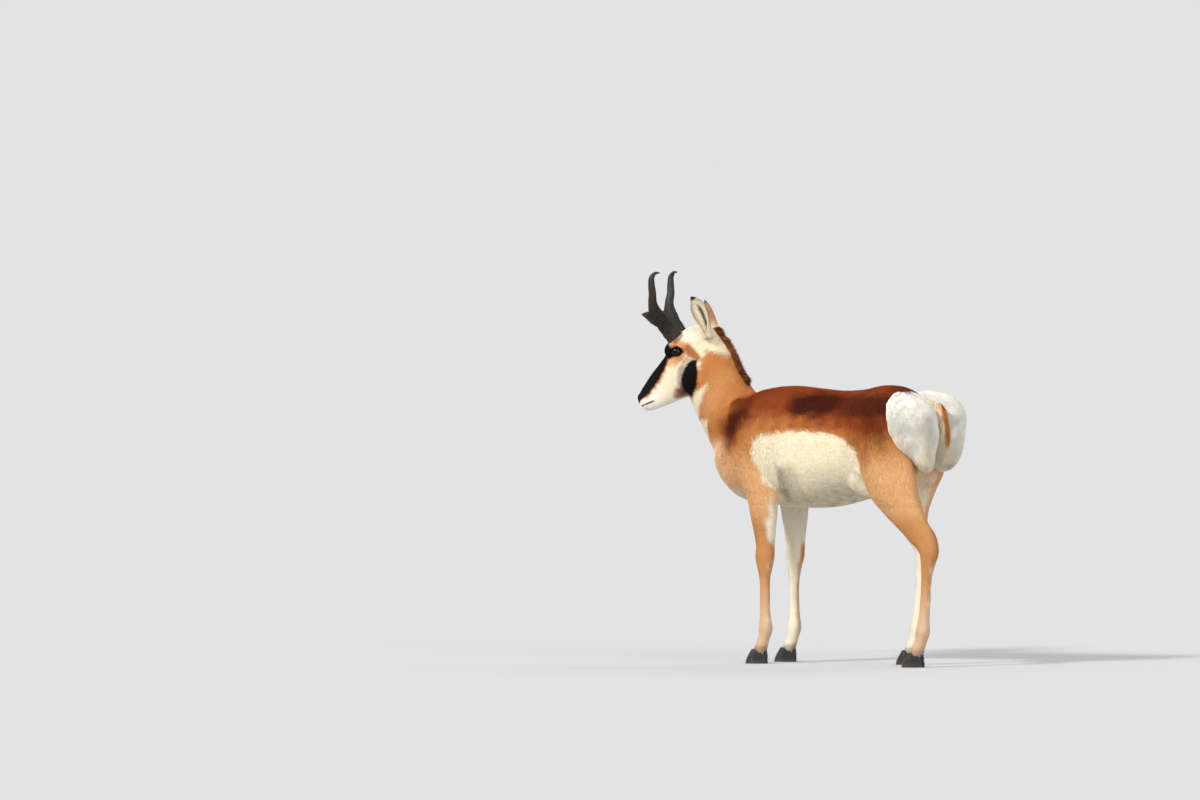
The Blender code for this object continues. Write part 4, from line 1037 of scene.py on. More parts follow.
def coat_colours(places, normals):
    """The markings of the whole animal, for skin and hair alike."""
    s, _, n = to_head(places).T
    x, _, z = places.T
    on_head = ramp(past_seam(places) + noise(places, 0.02, 21) * 0.004, -0.010, 0.012)
    on_head *= ramp(s + n * 0.1, -0.052, -0.036)
    colours = body_colours(places, normals)
    colours += (head_colours(places) - colours) * on_head[:, None]
    ragged = noise(places, 0.012, 23) * 0.004
    nape = soft(depth_in(NAPE_PATCH, x, z) + ragged, 0.014)
    paint(colours, CREAM, nape * 0.95)
    cheek_colours(colours, places)
    aside, behind = behind_line(places, smooth_rows(MANE_LINE, 24)[:, :3])
    away = np.abs(aside) + np.maximum(0, 0.020 - behind) * 0.7
    dark_nape = ramp(0.009 - away + ragged, -0.004, 0.004) * ramp(z, 0.86, 0.90) * ramp(x, -0.345, -0.325)
    paint(colours, MANE_BROWN, dark_nape * ramp(z, 1.075, 1.050))
    on_ear, up, aside = ear_part(places)
    return np.where(on_ear[:, None], ear_colours(places, normals, up, aside), colours)


# How the short coat lies: lines of the body and the way hair runs along them, x, y, z from start to end
# (legs, ears and tail add their own)
HEAD_LINE = ((0.300, 0.0, -0.030), (0.150, 0.0, -0.040), (0.020, 0.0, -0.040), (-0.030, 0.0, -0.060))
BODY_LINES = (
    ((-0.345, -0.015, 0.985), (-0.315, -0.005, 0.880), (-0.250, 0.0, 0.770)),
    (
        (-0.250, 0.0, 0.760), (-0.130, 0.0, 0.690), (0.050, 0.0, 0.665), (0.250, 0.0, 0.680),
        (0.420, 0.0, 0.690),
    ),
)
LEG_LINES = (
    (
        (-0.130, 0.075, 0.700), (-0.090, 0.087, 0.560), (-0.080, 0.088, 0.400), (-0.080, 0.084, 0.200),
        (-0.090, 0.083, 0.040),
    ),
    (
        (0.330, 0.080, 0.740), (0.375, 0.088, 0.620), (0.420, 0.098, 0.510), (0.510, 0.092, 0.384),
        (0.500, 0.089, 0.200), (0.472, 0.088, 0.040),
    ),
)

# The coat by region: spacing, length, width and thickness of a tuft, how far its tip rises, and how
# much its way strays, all in metres but the last
COAT = {
    "face": (0.0017, 0.0062, 0.0013, 0.0003, 0.0006, 0.16),
    "ears": (0.0015, 0.0050, 0.0010, 0.0003, 0.0006, 0.16),
    "neck": (0.0024, 0.0140, 0.0020, 0.0005, 0.0018, 0.14),
    "trunk": (0.0029, 0.0170, 0.0024, 0.0006, 0.0019, 0.12),
    "legs": (0.0022, 0.0085, 0.0017, 0.0004, 0.0007, 0.12),
}
# The long hair: length, width and thickness of a tuft, and how many are laid or tried
RUMP_HAIR = (0.030, 0.0017, 0.0008)
RUMP_TRIES = 125000
LOWER_RUMP_HAIR = (0.036, 0.0020, 0.0009)
MANE_HAIR = (0.036, 0.0019, 0.0008)
MANE_COUNT = 3600
TAIL_HAIR = (0.040, 0.0018, 0.0008)
TAIL_TRIES = 15000
LASH = (0.0075, 0.0007, 0.0003)


def line_pieces():
    """Start, end and way of every straight piece of the lines hair runs along."""
    place_in = head_frame()
    lines = [[place_in @ Vector(point) for point in HEAD_LINE]]
    lines += [[Vector(point) for point in line] for line in BODY_LINES]
    fore, hind = LEG_LINES
    for name, side in SIDES:
        lines.append([sided(place, side) for place in fore])
        lines.append([sided(place, side) for place in swung(hind, side)])
        lines.append([place_in @ sided(row, side) for row in EARS[name][1:]])
    lines.append([Vector(row[:3]) for row in TAIL])
    starts, ends = [], []
    for line in lines:
        starts += [tuple(point) for point in line[:-1]]
        ends += [tuple(point) for point in line[1:]]
    return np.array(starts), np.array(ends)


def lie_of_hair(places, normals):
    """The way the hair runs at each place: along the nearest lines of the body, drooping a little."""
    starts, ends = line_pieces()
    spans = ends - starts
    ways = spans / np.linalg.norm(spans, axis=1)[:, None]
    total = np.zeros_like(places)
    for start, span, way in zip(starts, spans, ways):
        t = np.clip((places - start) @ span / (span @ span), 0, 1)
        away = np.linalg.norm(places - start - t[:, None] * span, axis=1)
        total += way / (away[:, None] + 0.012) ** 5
    total = unit(total)
    total[:, 2] -= 0.22 * ramp(places[:, 2], 0.45, 0.60) * ramp(-past_seam(places), -0.02, 0.02)
    total -= normals * (total * normals).sum(1)[:, None]
    return unit(total)


def triangles_of(mesh):
    """The three point numbers of each of a mesh's triangles, as an array."""
    mesh.calc_loop_triangles()
    corners = np.empty(len(mesh.loop_triangles) * 3, np.int32)
    mesh.loop_triangles.foreach_get("vertices", corners)
    return corners.reshape(-1, 3)


class Surface:
    """The skin's triangles, with places, smooth normals and areas, for roots of hair."""

    def __init__(self, mesh):
        self.places = of_points(mesh, "co").astype(float)
        self.normals = of_points(mesh, "normal").astype(float)
        self.corners = triangles_of(mesh)
        a, b, c = (self.places[self.corners[:, k]] for k in range(3))
        self.areas = np.linalg.norm(np.cross(b - a, c - a), axis=1) / 2
        self.middles = (a + b + c) / 3

    def roots(self, spacing, dice, wanted):
        """Evenly spread places and normals, at that spacing, on the triangles wanted."""
        share = np.where(wanted, self.areas / spacing**2, 0)
        cell = np.floor(self.middles / 0.012).astype(int)
        order = np.lexsort((cell[:, 2], cell[:, 1], cell[:, 0]))
        running = np.cumsum(share[order])
        count = int(running[-1])
        marks = (np.arange(count) + dice.uniform(0, 1, count)) * running[-1] / max(count, 1)
        chosen = order[np.searchsorted(running, marks).clip(0, len(order) - 1)]
        u, v = dice.uniform(0, 1, (2, count))
        flip = u + v > 1
        u, v = np.where(flip, 1 - u, u), np.where(flip, 1 - v, v)
        weights = np.stack([1 - u - v, u, v], 1)[:, :, None]
        corners = self.corners[chosen]
        places = (self.places[corners] * weights).sum(1)
        normals = (self.normals[corners] * weights).sum(1)
        return places, unit(normals)


def turned_about(ways, normals, angle):
    """Each way turned by its angle about its normal."""
    across = np.cross(normals, ways)
    return ways * np.cos(angle)[:, None] + across * np.sin(angle)[:, None]


def wraps_round(places):
    """A flat place for every root: the way round the body's lines against the way along them."""
    starts, ends = line_pieces()
    spans = ends - starts
    lengths = np.linalg.norm(spans, axis=1)
    best = np.full(len(places), np.inf)
    flat = np.zeros((len(places), 2))
    run = np.concatenate([[0], np.cumsum(lengths)])[:-1]
    for k, (start, span) in enumerate(zip(starts, spans)):
        t = np.clip((places - start) @ span / (span @ span), 0, 1)
        offset = places - start - t[:, None] * span
        away = np.linalg.norm(offset, axis=1)
        way = span / lengths[k]
        side = np.cross(way, (0.0, 0.31, 1.0))
        side /= np.linalg.norm(side)
        up = np.cross(side, way)
        angle = np.arctan2(offset @ up, offset @ side) / (2 * math.pi) + 0.5
        nearer = away < best
        best = np.where(nearer, away, best)
        flat[nearer, 0] = ((run[k] + t * lengths[k]) / (run[-1] + lengths[-1]))[nearer]
        flat[nearer, 1] = angle[nearer]
    return flat * 0.99 + 0.003


SPIKE = np.array([(0, 1, 3), (1, 2, 3), (2, 0, 3), (0, 2, 1)])
LOCK = np.array([
    (0, 1, 4), (0, 4, 3), (1, 2, 5), (1, 5, 4), (2, 0, 3),
    (2, 3, 5), (3, 4, 6), (4, 5, 6), (5, 3, 6), (0, 2, 1),
])
# A tuft's corners on its patch of the OFBake map
LOCK_PATCH = np.array([
    (0, 0), (0.003, 0), (0.0015, 0.001), (0.0005, 0.0015), (0.0025, 0.0015), (0.0015, 0.002), (0.0015, 0.003),
])
SPIKE_PATCH = LOCK_PATCH[[0, 1, 2, 6]]


def tufts(name, roots, normals, ways, length, width, thick, rise, colours, dice, bend=None, depth=0.18,
          shades=(0.88, 1.10), roundness=0.28):
    """One mesh of closed tapered tufts, each lying along its way, darker at the root by depth.

    With bend, each tuft has a second stage, and its tip is bent by that much.
    """
    count = len(roots)
    length, width, thick = (np.broadcast_to(value, count)[:, None] for value in (length, width, thick))
    across = np.cross(normals, ways)
    tip = roots + ways * length + normals * np.broadcast_to(rise, count)[:, None]
    low = roots - normals * thick * 0.8
    if bend is None:
        corners = [low - across * width / 2, low + across * width / 2, roots + normals * thick, tip]
        stages, faces, patch = (0, 0, 0, 1), SPIKE, SPIKE_PATCH
    else:
        middle = roots + (tip - roots) * 0.55 + bend * 0.35
        corners = [
            low - across * width * 0.4,
            low + across * width * 0.4,
            roots + normals * thick,
            middle - across * width / 2 - normals * thick * 0.3,
            middle + across * width / 2 - normals * thick * 0.3,
            middle + normals * thick * 0.7,
            tip + bend,
        ]
        stages, faces, patch = (0, 0, 0, 0.6, 0.6, 0.6, 1), LOCK, LOCK_PATCH
    corners = np.stack(corners, 1)
    per = corners.shape[1]
    triangles = (faces[None] + (np.arange(count) * per)[:, None, None]).reshape(-1, 3)
    mesh = bpy.data.meshes.new(name)
    mesh.vertices.add(count * per)
    mesh.vertices.foreach_set("co", corners.astype(np.float32).ravel())
    mesh.loops.add(len(triangles) * 3)
    mesh.loops.foreach_set("vertex_index", triangles.astype(np.int32).ravel())
    mesh.polygons.add(len(triangles))
    mesh.polygons.foreach_set("loop_start", np.arange(0, len(triangles) * 3, 3, dtype=np.int32))
    mesh.polygons.foreach_set("loop_total", np.full(len(triangles), 3, np.int32))
    mesh.update(calc_edges=True)
    mesh.validate()
    shade = dice.uniform(*shades, count)[:, None, None]
    along = np.array(stages)[None, :, None]
    tones = colours[:, None, :] * shade * (1.04 - depth + depth * along)
    tones = np.concatenate([np.clip(tones, 0, 1), np.ones((count, per, 1))], 2)
    layer = mesh.color_attributes.new("coat", "FLOAT_COLOR", "POINT")
    layer.data.foreach_set("color", tones.astype(np.float32).ravel())
    spots = (wraps_round(roots)[:, None, :] + patch[None]).reshape(-1, 2)
    unwrap = mesh.uv_layers.new(name="OFBake")
    unwrap.data.foreach_set("uv", spots[triangles.ravel()].astype(np.float32).ravel())
    mesh.shade_smooth()
    bulge = unit(corners - corners.mean(1)[:, None])
    own = unit(normals[:, None, :] * 0.8 + bulge * roundness)
    mesh.normals_split_custom_set_from_vertices(own.reshape(-1, 3).astype(np.float32))
    return add_object(name, mesh)


def regions(places):
    """A number for each place: 0 face, 1 neck, 2 shoulders, 3 barrel, 4 thighs, 5 and 6 legs, 7 ears."""
    x, y, z = places.T
    number = np.full(len(places), 3)
    number[x < 0.010] = 2
    number[x > 0.235] = 4
    neck_side = (places - np.array((-0.235, 0, 0.745))) @ np.array((-0.845, 0, 0.535))
    number[(neck_side > 0) & (x < -0.15)] = 1
    low = (z < 0.500) & (np.abs(y) > 0.03)
    number[low & (x < 0.15)] = 5
    number[low & (x >= 0.15)] = 6
    number[past_seam(places) > 0] = 0
    return number


def make_short_coat(surface):
    """Flat-lying tufts over the whole skin but where it is bare and where the rump's long hair grows."""
    dice = np.random.default_rng(7)
    region = regions(surface.middles)
    on_ear = ear_part(surface.middles)[0]
    region[on_ear] = 7
    skinned = bare(surface.middles) | (rump_cover(surface.middles) > 0.6)
    made = []
    kinds = (
        ("face_coat", "face", (0,)), ("ear_coat", "ears", (7,)), ("neck_coat", "neck", (1,)),
        ("shoulder_coat", "trunk", (2,)), ("barrel_coat", "trunk", (3,)), ("thigh_coat", "trunk", (4,)),
        ("foreleg_coat", "legs", (5,)), ("hind_leg_coat", "legs", (6,)),
    )
    for name, kind, numbers in kinds:
        spacing, length, width, thick, rise, stray = COAT[kind]
        wanted = np.isin(region, numbers) & ~skinned
        roots, normals = surface.roots(spacing, dice, wanted)
        count = len(roots)
        ways = lie_of_hair(roots, normals)
        drift = noise(roots, 0.05, 41) * 0.16 + dice.normal(0, stray, count)
        ways = turned_about(ways, normals, drift)
        jitter = dice.normal(0, 0.0016 if kind in ("face", "ears") else 0.0032, (count, 3))
        colours = coat_colours(roots + jitter, normals)
        size = dice.uniform(0.75, 1.2, count)
        if kind == "face":
            size = size * (0.45 + 0.75 * ramp(to_head(roots)[:, 0], 0.27, 0.10))
        if kind == "neck":
            size = size * (0.50 + 0.50 * ramp(-past_seam(roots), -0.01, 0.07))
        if kind == "legs":
            size = size * (0.7 + 0.6 * ramp(roots[:, 2], 0.25, 0.50))
        made.append(tufts(name, roots, normals, ways, length * size, width * np.sqrt(size), thick,
                          rise * size, colours, dice))
    return made


def bare(places):
    """Where no short coat grows: in the eyes' sockets and nostrils, on the nose's end and under the horns."""
    s, y, n = to_head(places).T
    aside = np.abs(y)
    eye = np.sqrt((s - EYE.x) ** 2 + (aside - EYE.y) ** 2 + (n - EYE.z) ** 2) < EYE_RADIUS + 0.0012
    nose = (s > 0.2915) & (n > -0.034)
    nostril = ((s - 0.287) / 0.009) ** 2 + ((aside - 0.015) / 0.006) ** 2 + ((n + 0.009) / 0.006) ** 2 < 1
    low, high = np.array(HORN[0][:3]), np.array(HORN[2][:3])
    span = high - low
    points = np.stack([s, aside, n], 1)
    along = (points - low) @ span / (span @ span)
    offset = points - low - along[:, None] * span
    horn = ((offset[:, 0] / 0.0225) ** 2 + (offset[:, 1] / 0.0138) ** 2 < 1) & (along > 0.02)
    return eye | nose | nostril | horn


def clearance(tree, points):
    """How far each point stands clear of the skin, negative inside it."""
    found = []
    for point in points:
        place, normal, _, away = tree.find_nearest(Vector(point))
        found.append(-away if (Vector(point) - place).dot(normal) < 0 else away)
    return np.array(found)


def spread_round(count, dice):
    """Ways evenly spread over a ball, each strayed a little."""
    k = np.arange(count) + 0.5
    height = 1 - 2 * k / count
    turn = k * math.pi * (3 - math.sqrt(5))
    level = np.sqrt(1 - height * height)
    out = np.stack([np.cos(turn) * level, np.sin(turn) * level, height], 1)
    return unit(out + dice.normal(0, 0.008, out.shape))


def rump_flow(places, out):
    """How rump hair runs on the right side: fanned from the tail's root, then down its front edge."""
    fan = places - np.array(RUMP_FAN)
    down = np.zeros_like(places)
    down[:, 0] = 0.12 + 0.50 * ramp(edge_of_rump(places), 0.070, 0.010) * ramp(places[:, 2], 0.740, 0.680)
    down[:, 0] += 2.5 * ramp(-out[:, 2], 0.75, 0.96)
    down[:, 2] = -1
    fan, down = (way - out * (way * out).sum(1)[:, None] for way in (unit(fan), unit(down)))
    share = ramp(places[:, 2], 0.790, 0.690)[:, None]
    flow = fan * (1 - share) + down * share
    return flow / np.maximum(np.linalg.norm(flow, axis=1), 0.6)[:, None]


def flare(places, side):
    """How far outside one lobe's outline each place lies, as a share of its size, and the way out of it."""
    low_place, low_radii = LOW_TUFT
    x, y, z = swung([low_place], side)[0]
    low_place = (x, y, z + (FAR_TUFT_RISE if side > 0 else 0))
    near, way = 0, 0
    for place, radii in (*RUMP_PUFFS, (low_place, low_radii)):
        offset = (places - np.array(place)) / np.array(radii)
        far = np.linalg.norm(offset, axis=1)
        weight = np.exp(-LOBE_BLEND * (far - 1))
        near = near + weight
        way = way + offset / np.array(radii) * (weight / far)[:, None]
    return -np.log(near) / LOBE_BLEND, unit(way)


def lobe_reach(ways, side):
    """How far out from the rump's middle, along each way, one lobe's outline lies."""
    middle = np.array(RUMP_MIDDLE)
    reach = np.full(len(ways), LOBE_START)
    outside = np.ones(len(ways), bool)
    for _ in range(LOBE_STEPS):
        gap = flare(middle + ways * reach[:, None], side)[0]
        outside &= gap > 0.004
        reach[outside] -= np.minimum(gap[outside] * 0.035, 0.012)
    return reach


def make_flared_hair(name, side, skin_tree):
    """Rump hair whose tips fill the flared outline, its roots nearer the tail in the skin."""
    dice = np.random.default_rng(19 + side)
    mirror = np.array((1, side, 1))
    middle = np.array(RUMP_MIDDLE)
    long, width, thick = RUMP_HAIR
    out = spread_round(RUMP_TRIES, dice)
    reach = lobe_reach(out, side)
    tips = middle + out * reach[:, None]
    reach *= 1 - 0.20 * ramp(tips[:, 1], 0.042, 0.012)
    tips = middle + out * reach[:, None]
    edge = edge_of_rump(tips * mirror) + noise(tips, 0.012, 74) * 0.0015 + dice.normal(0, 0.0012, len(tips))
    tips = tips[(edge > -0.008) & (tips[:, 1] > 0.025) & (tips[:, 2] > 0.572)]
    clear = clearance(skin_tree, tips * mirror)
    tips, clear = tips[clear > 0.0030], clear[clear > 0.0030]
    count = len(tips)
    out = flare(tips, side)[1]
    into = ramp(edge_of_rump(tips * mirror), -0.050, 0.034) * 2 - 0.65
    sunk = (clear - 0.004) * (1 - np.sqrt(np.clip(into, 0.0, 1.0)))
    tips, clear = tips - out * sunk[:, None], clear - sunk
    clumps = np.stack([noise(tips, 0.030, 71), noise(tips, 0.030, 72), noise(tips, 0.030, 73)], 1) * 0.09
    ways = unit(out * 0.32 + rump_flow(tips, out) + clumps + dice.normal(0, 0.045, out.shape))
    length = long * dice.uniform(0.75, 1.15, count) * (0.50 + 0.50 * ramp(clear, 0.004, 0.020))
    tips = tips - out * np.abs(dice.normal(0, 0.0018, count))[:, None]
    colours = np.tile(WHITE, (count, 1)).astype(float)
    # Creamier towards the bottom of the lobe, in soft clouds
    creamier_low = noise(tips, 0.045, 77) * 0.45 + (0.700 - tips[:, 2]) * 8
    paint(colours, CREAM, ramp(creamier_low, -0.2, 1.0) * 0.9)
    fringe = ramp(edge_of_rump(tips * mirror), 0.010, 0)
    paint(colours, TAN, ramp(dice.uniform(0, 1, count) + fringe * 0.5, 0.95, 1.15) * 0.5)
    tips, out, ways = (item * mirror for item in (tips, out, ways))
    roots = tips - ways * length[:, None]
    return tufts(f"rump_hair_{name}", roots, out, ways, length, width, thick, 0.0, colours,
                 dice, depth=0.04, shades=(0.96, 1.03), roundness=0.08)


def make_lower_rump_hair(surface):
    """Hair rooted all over the white patch, which fills in below the flared hair."""
    dice = np.random.default_rng(23)
    wanted = rump_cover(surface.middles) > 0.5
    roots, normals = surface.roots(0.0022, dice, wanted)
    count = len(roots)
    mirror = np.stack([np.ones(count), np.sign(roots[:, 1]), np.ones(count)], 1)
    ways = rump_flow(roots * mirror, normals * mirror) * mirror + dice.normal(0, 0.06, (count, 3))
    ways = unit(ways - normals * (ways * normals).sum(1)[:, None])
    size = (0.45 + 0.55 * ramp(roots[:, 2], 0.575, 0.620)) * dice.uniform(0.75, 1.15, count)
    size *= 0.45 + 0.55 * ramp(edge_of_rump(roots), 0.0, 0.030)
    colours = coat_colours(roots, normals)
    long, width, thick = LOWER_RUMP_HAIR
    return tufts("lower_rump_hair", roots, normals, ways, long * size, width, thick, 0.008 * size,
                 colours, dice, depth=0.06, shades=(0.94, 1.03), roundness=0.12)


def make_mane():
    """Brown hair along the nape, lying back, darkest low down, with a few pale hairs at its sides."""
    dice = np.random.default_rng(29)
    count = MANE_COUNT
    long, width, thick = MANE_HAIR
    rows = smooth_rows(MANE_LINE, 60)
    steps = unit(np.gradient(rows[:, :3], axis=0))
    part = dice.uniform(0, 1, count) ** 0.9
    at = part * 59
    low = np.floor(at).astype(int).clip(0, 58)
    t = (at - low)[:, None]
    centre = rows[low] * (1 - t) + rows[low + 1] * t
    rise = steps[low]
    side = np.array((0.0, 1.0, 0.0))
    out = unit(np.cross(side, rise))
    aside = dice.normal(0, 0.45, count).clip(-1.1, 1.1)
    raised = out * (centre[:, 3] * (0.66 - 0.30 * aside**2))[:, None]
    roots = centre[:, :3] + side * (aside * 0.0065)[:, None] + raised
    clumps = noise(centre[:, :3] + side * aside[:, None] * 0.01, 0.018, 75) * 9
    lie = np.radians(np.interp(part, (0, 0.88, 1), (66, 58, 30)) + clumps + dice.normal(0, 7, count))[:, None]
    sway = side * (aside * 0.25 + dice.normal(0, 0.08, count))[:, None]
    ways = unit(out * np.cos(lie) - rise * np.sin(lie) + sway)
    face = out * np.sin(lie) + rise * np.cos(lie)
    face = unit(face - ways * (face * ways).sum(1)[:, None])
    length = long * dice.uniform(0.6, 1.1, count) * (0.75 + 0.25 * ramp(part, 1.0, 0.7))
    length *= 1 - 0.35 * np.abs(aside)
    length *= 0.40 + 0.60 * ramp(part, 0.0, 0.15)
    colours = np.tile(MANE_BROWN, (count, 1)) * dice.uniform(0.7, 1.5, (count, 1))
    paint(colours, DARK, ramp(part, 0.65, 0.30) * 0.75)
    pale = (dice.uniform(0, 1, count) < 0.35) & (np.abs(aside) > 0.35)
    colours[pale] = np.array(ORANGE)
    bend = face * dice.normal(0, 0.003, count)[:, None]
    return tufts("mane", roots, face, ways, length, width, thick, 0.0, colours, dice, bend=bend)


def make_tail_hair(skin_tree):
    """The tail's brush, hanging between the white lobes: cream on its left, orange-brown on its right."""
    dice = np.random.default_rng(31)
    long, width, thick = TAIL_HAIR
    out = spread_round(TAIL_TRIES, dice)
    middle, radii = (np.array(item) for item in TAIL_BRUSH)
    tips = middle + out * radii * (1 - np.abs(dice.normal(0, 0.05, len(out))))[:, None]
    out = unit(out / radii)
    hanging = (tips[:, 0] > 0.470) & (tips[:, 2] < 0.766)
    tips, out = tips[hanging], out[hanging]
    clear = clearance(skin_tree, tips) > 0.002
    tips, out = tips[clear], out[clear]
    count = len(tips)
    clumps = np.stack([noise(tips, 0.030, 78), noise(tips, 0.030, 79), np.zeros(count)], 1) * 0.10
    ways = np.array((0.16, 0.0, -1.0)) + out * 0.25 + clumps + dice.normal(0, 0.05, (count, 3))
    ways = unit(ways)
    length = long * dice.uniform(0.7, 1.15, count)
    _, y, z = tips.T
    stray = dice.normal(0, 0.0012, count) + noise(tips, 0.012, 80) * 0.0015
    colours = np.tile(CREAM, (count, 1)).astype(float)
    paint(colours, ORANGE, ramp(y + stray, -0.014, -0.008) * ramp(z + stray * 5, 0.655, 0.675))
    # The brush's left edge by the crease, painted russet: partly brown hair, partly painted shade
    paint(colours, RUSSET, ramp(y + stray, -0.017, -0.022) * ramp(z + stray * 5, 0.680, 0.700) * 0.9)
    cross_band = ramp(0.010 - np.abs(z + stray * 2 - 0.680), 0.0, 0.006)
    paint(colours, ORANGE, cross_band * ramp(y, -0.010, 0.0) * 0.8)
    roots = tips - ways * length[:, None]
    return tufts("tail_hair", roots, out, ways, length, width, thick, 0.0, colours, dice, depth=0.12,
                 shades=(0.90, 1.08), roundness=0.2)


def claw_rings(x, y, side_of_foot, points=22, count=16):
    """Level outlines of one claw: straight beside the cleft, rounded outside, pointed at the toe."""
    rings = []
    for z, toe, heel, half in smooth_rows(CLAW, count):
        outline = []
        for k in range(points):
            part = k / (points - 1)
            swell = math.sin(math.pi * min(part * 1.15 + 0.04, 1.0) ** 0.75)
            reach = max(swell, 0.0) ** 0.7 if k < points - 1 else 0.35
            outline.append((toe + (heel - toe) * part, CLEFT + 2 * half * max(reach, 0.14)))
        for k in range(3):
            outline.append((heel + (toe - heel) * (0.04 + 0.46 * k), CLEFT))
        rings.append([Vector((x + px, y + py * side_of_foot, max(z, 0.0))) for px, py in outline])
    return rings


def make_hoof(leg, name, side):
    """The two claws of one foot as one piece, with faint rings of growth."""
    foot = (FORE_LEG if leg == "fore" else swung(HIND_LEG, side))[-1]
    bm = bmesh.new()
    for way in (-1, 1):
        add_tube(bm, claw_rings(foot[0], foot[1] * side, way * side))
    hoof = remeshed(object_from(bm, f"{leg}_hoof_{name}"), HOOF_VOXEL, 5)
    places = of_points(hoof.data, "co")
    rings = np.sin(places[:, 2] * 2 * math.pi / GROWTH_RING + noise(places, 0.03, 51) * 1.2)
    side_of_claw = ramp(places[:, 2], 0.003, 0.010) * (1 - np.abs(of_points(hoof.data, "normal")[:, 2]))
    sink(hoof, (0.0003 - 0.00028 * rings) * side_of_claw)
    slope = ramp(places[:, 2], 0.030, 0.046)
    set_attribute(hoof, "wear", ramp(places[:, 2], 0.016, 0.0) * 0.7 + slope * 0.3)
    return hoof


def make_horn(name, side):
    """A black sheath with a flat prong, ridged and rough below, smooth towards its hooked tip."""
    head = head_frame()
    bm = bmesh.new()
    add_tube(bm, horn_rings(HORN, side, 90, 40), pointed=True)
    add_tube(bm, horn_rings(PRONG, side, 40, 32), pointed=True)
    horn = remeshed(object_from(bm, f"horn_sheath_{name}"), HORN_VOXEL, 8)
    places = of_points(horn.data, "co")
    s, _, n = to_head(places).T
    low = ramp(n, 0.170, 0.060)
    drawn = places.copy()
    drawn += np.outer(n * -0.80, np.array(head.to_3x3() @ Vector((0.0, 0.0, 1.0))))
    ridges = noise(drawn, 0.0075, 61) * 0.0007 + noise(drawn, 0.0032, 62) * 0.0004
    lumps = noise(places, 0.013, 63) * 0.0005
    sink(horn, 0.0006 + (ridges + lumps) * (0.15 + 0.85 * low))
    set_attribute(horn, "rough", low)
    # Paler: painted light on the upper horn, where light falls on it; rubbed paler on the prong's front edge
    # and near the base
    pale = ramp(n, 0.120, 0.165) * 0.45 + ramp(s - 0.058 - (n - 0.10) * 0.2, 0.0, 0.02) * ramp(n, 0.09, 0.13)
    set_attribute(horn, "rubbed_and_lit", np.clip(pale + ramp(n, 0.075, 0.05) * 0.4, 0, 1))
    return horn


def make_eye(name, side):
    """A dark, wet eye with a pupil drawn out level."""
    radii = (EYE_RADIUS - EYEBALL_GAP,) * 3
    eye = ball_object(f"eyeball_{name}", sided(EYE, side), radii, 0, head_frame(), 64, 48)
    s, _, n = to_head(of_points(eye.data, "co")).T
    level = (s - EYE.x) * math.cos(HEAD_PITCH) + (n - EYE.z) * math.sin(HEAD_PITCH)
    rise = (n - EYE.z) * math.cos(HEAD_PITCH) - (s - EYE.x) * math.sin(HEAD_PITCH)
    pupil = 1 - np.sqrt((level / 0.0095) ** 2 + (rise / 0.0052) ** 2)
    set_attribute(eye, "iris", ramp(-pupil, -0.10, 0.12) * ramp(np.hypot(level, rise), 0.0180, 0.0140))
    return eye


def make_lashes():
    """Dark lashes along the upper lids, spread forward and down."""
    dice = np.random.default_rng(37)
    place_in = head_frame()
    turn = np.array(place_in.to_3x3())
    c, t = math.cos(EYE_TILT), math.sin(EYE_TILT)
    roots, ways, normals = [], [], []
    for _, side in SIDES:
        for angle in np.linspace(0.12, 0.96, 46) * math.pi:
            along = EYE_LENGTH * 0.98 * math.cos(angle)
            rise = EYE_HEIGHT * abs(math.sin(angle)) ** LID_ARCH * 1.02
            s, n = at_eye(along, rise)
            reach = math.sqrt(max((EYE_RADIUS + 0.0018) ** 2 - (s - EYE.x) ** 2 - (n - EYE.z) ** 2, 0))
            roots.append((s, (EYE.y + reach) * side, n))
            way = Vector((along * c * 0.5 - rise * t * 0.3, 0.8 * side * 0.012, rise * c * 0.25 - 0.004))
            ways.append(way.normalized())
            normals.append(Vector((0, 0.4 * side, 1)))
    matrix = np.array(place_in)
    roots = np.array(roots) @ matrix[:3, :3].T + matrix[:3, 3]
    ways = unit(np.array(ways) @ turn.T + dice.normal(0, 0.06, (len(ways), 3)))
    normals = np.array(normals) @ turn.T
    normals = unit(normals - ways * (normals * ways).sum(1)[:, None])
    count = len(roots)
    bend = np.tile((0.0, 0.0, -0.0016), (count, 1))
    long, width, thick = LASH
    colours = np.tile(BLACK, (count, 1)).astype(float)
    length = long * dice.uniform(0.7, 1.1, count)
    return tufts("lashes", roots, normals, ways, length, width, thick, 0.0, colours, dice, bend=bend)


def set_attribute(made, name, values):
    """Gives each point of a piece a number that its material reads."""
    layer = made.data.attributes.new(name, "FLOAT", "POINT")
    layer.data.foreach_set("value", np.asarray(values, np.float32))


def colour_skin(skin):
    """Paints the skin like the coat, and marks where it is bare and moist."""
    places, normals = (of_points(skin.data, what).astype(float) for what in ("co", "normal"))
    colours = coat_colours(places, normals)
    layer = skin.data.color_attributes.new("coat", "FLOAT_COLOR", "POINT")
    opaque = np.concatenate([colours, np.ones((len(colours), 1))], 1)
    layer.data.foreach_set("color", opaque.astype(np.float32).ravel())
    s, y, n = to_head(places).T
    bare_nose = ramp(s, 0.284, 0.291) * ramp(n, -0.036, -0.028)
    lid = np.sqrt((s - EYE.x) ** 2 + (np.abs(y) - EYE.y) ** 2 + (n - EYE.z) ** 2)
    rim = ramp(lid, EYE_RADIUS + 0.0016, EYE_RADIUS + 0.0004)
    set_attribute(skin, "bare", np.clip(bare_nose + rim, 0, 1))


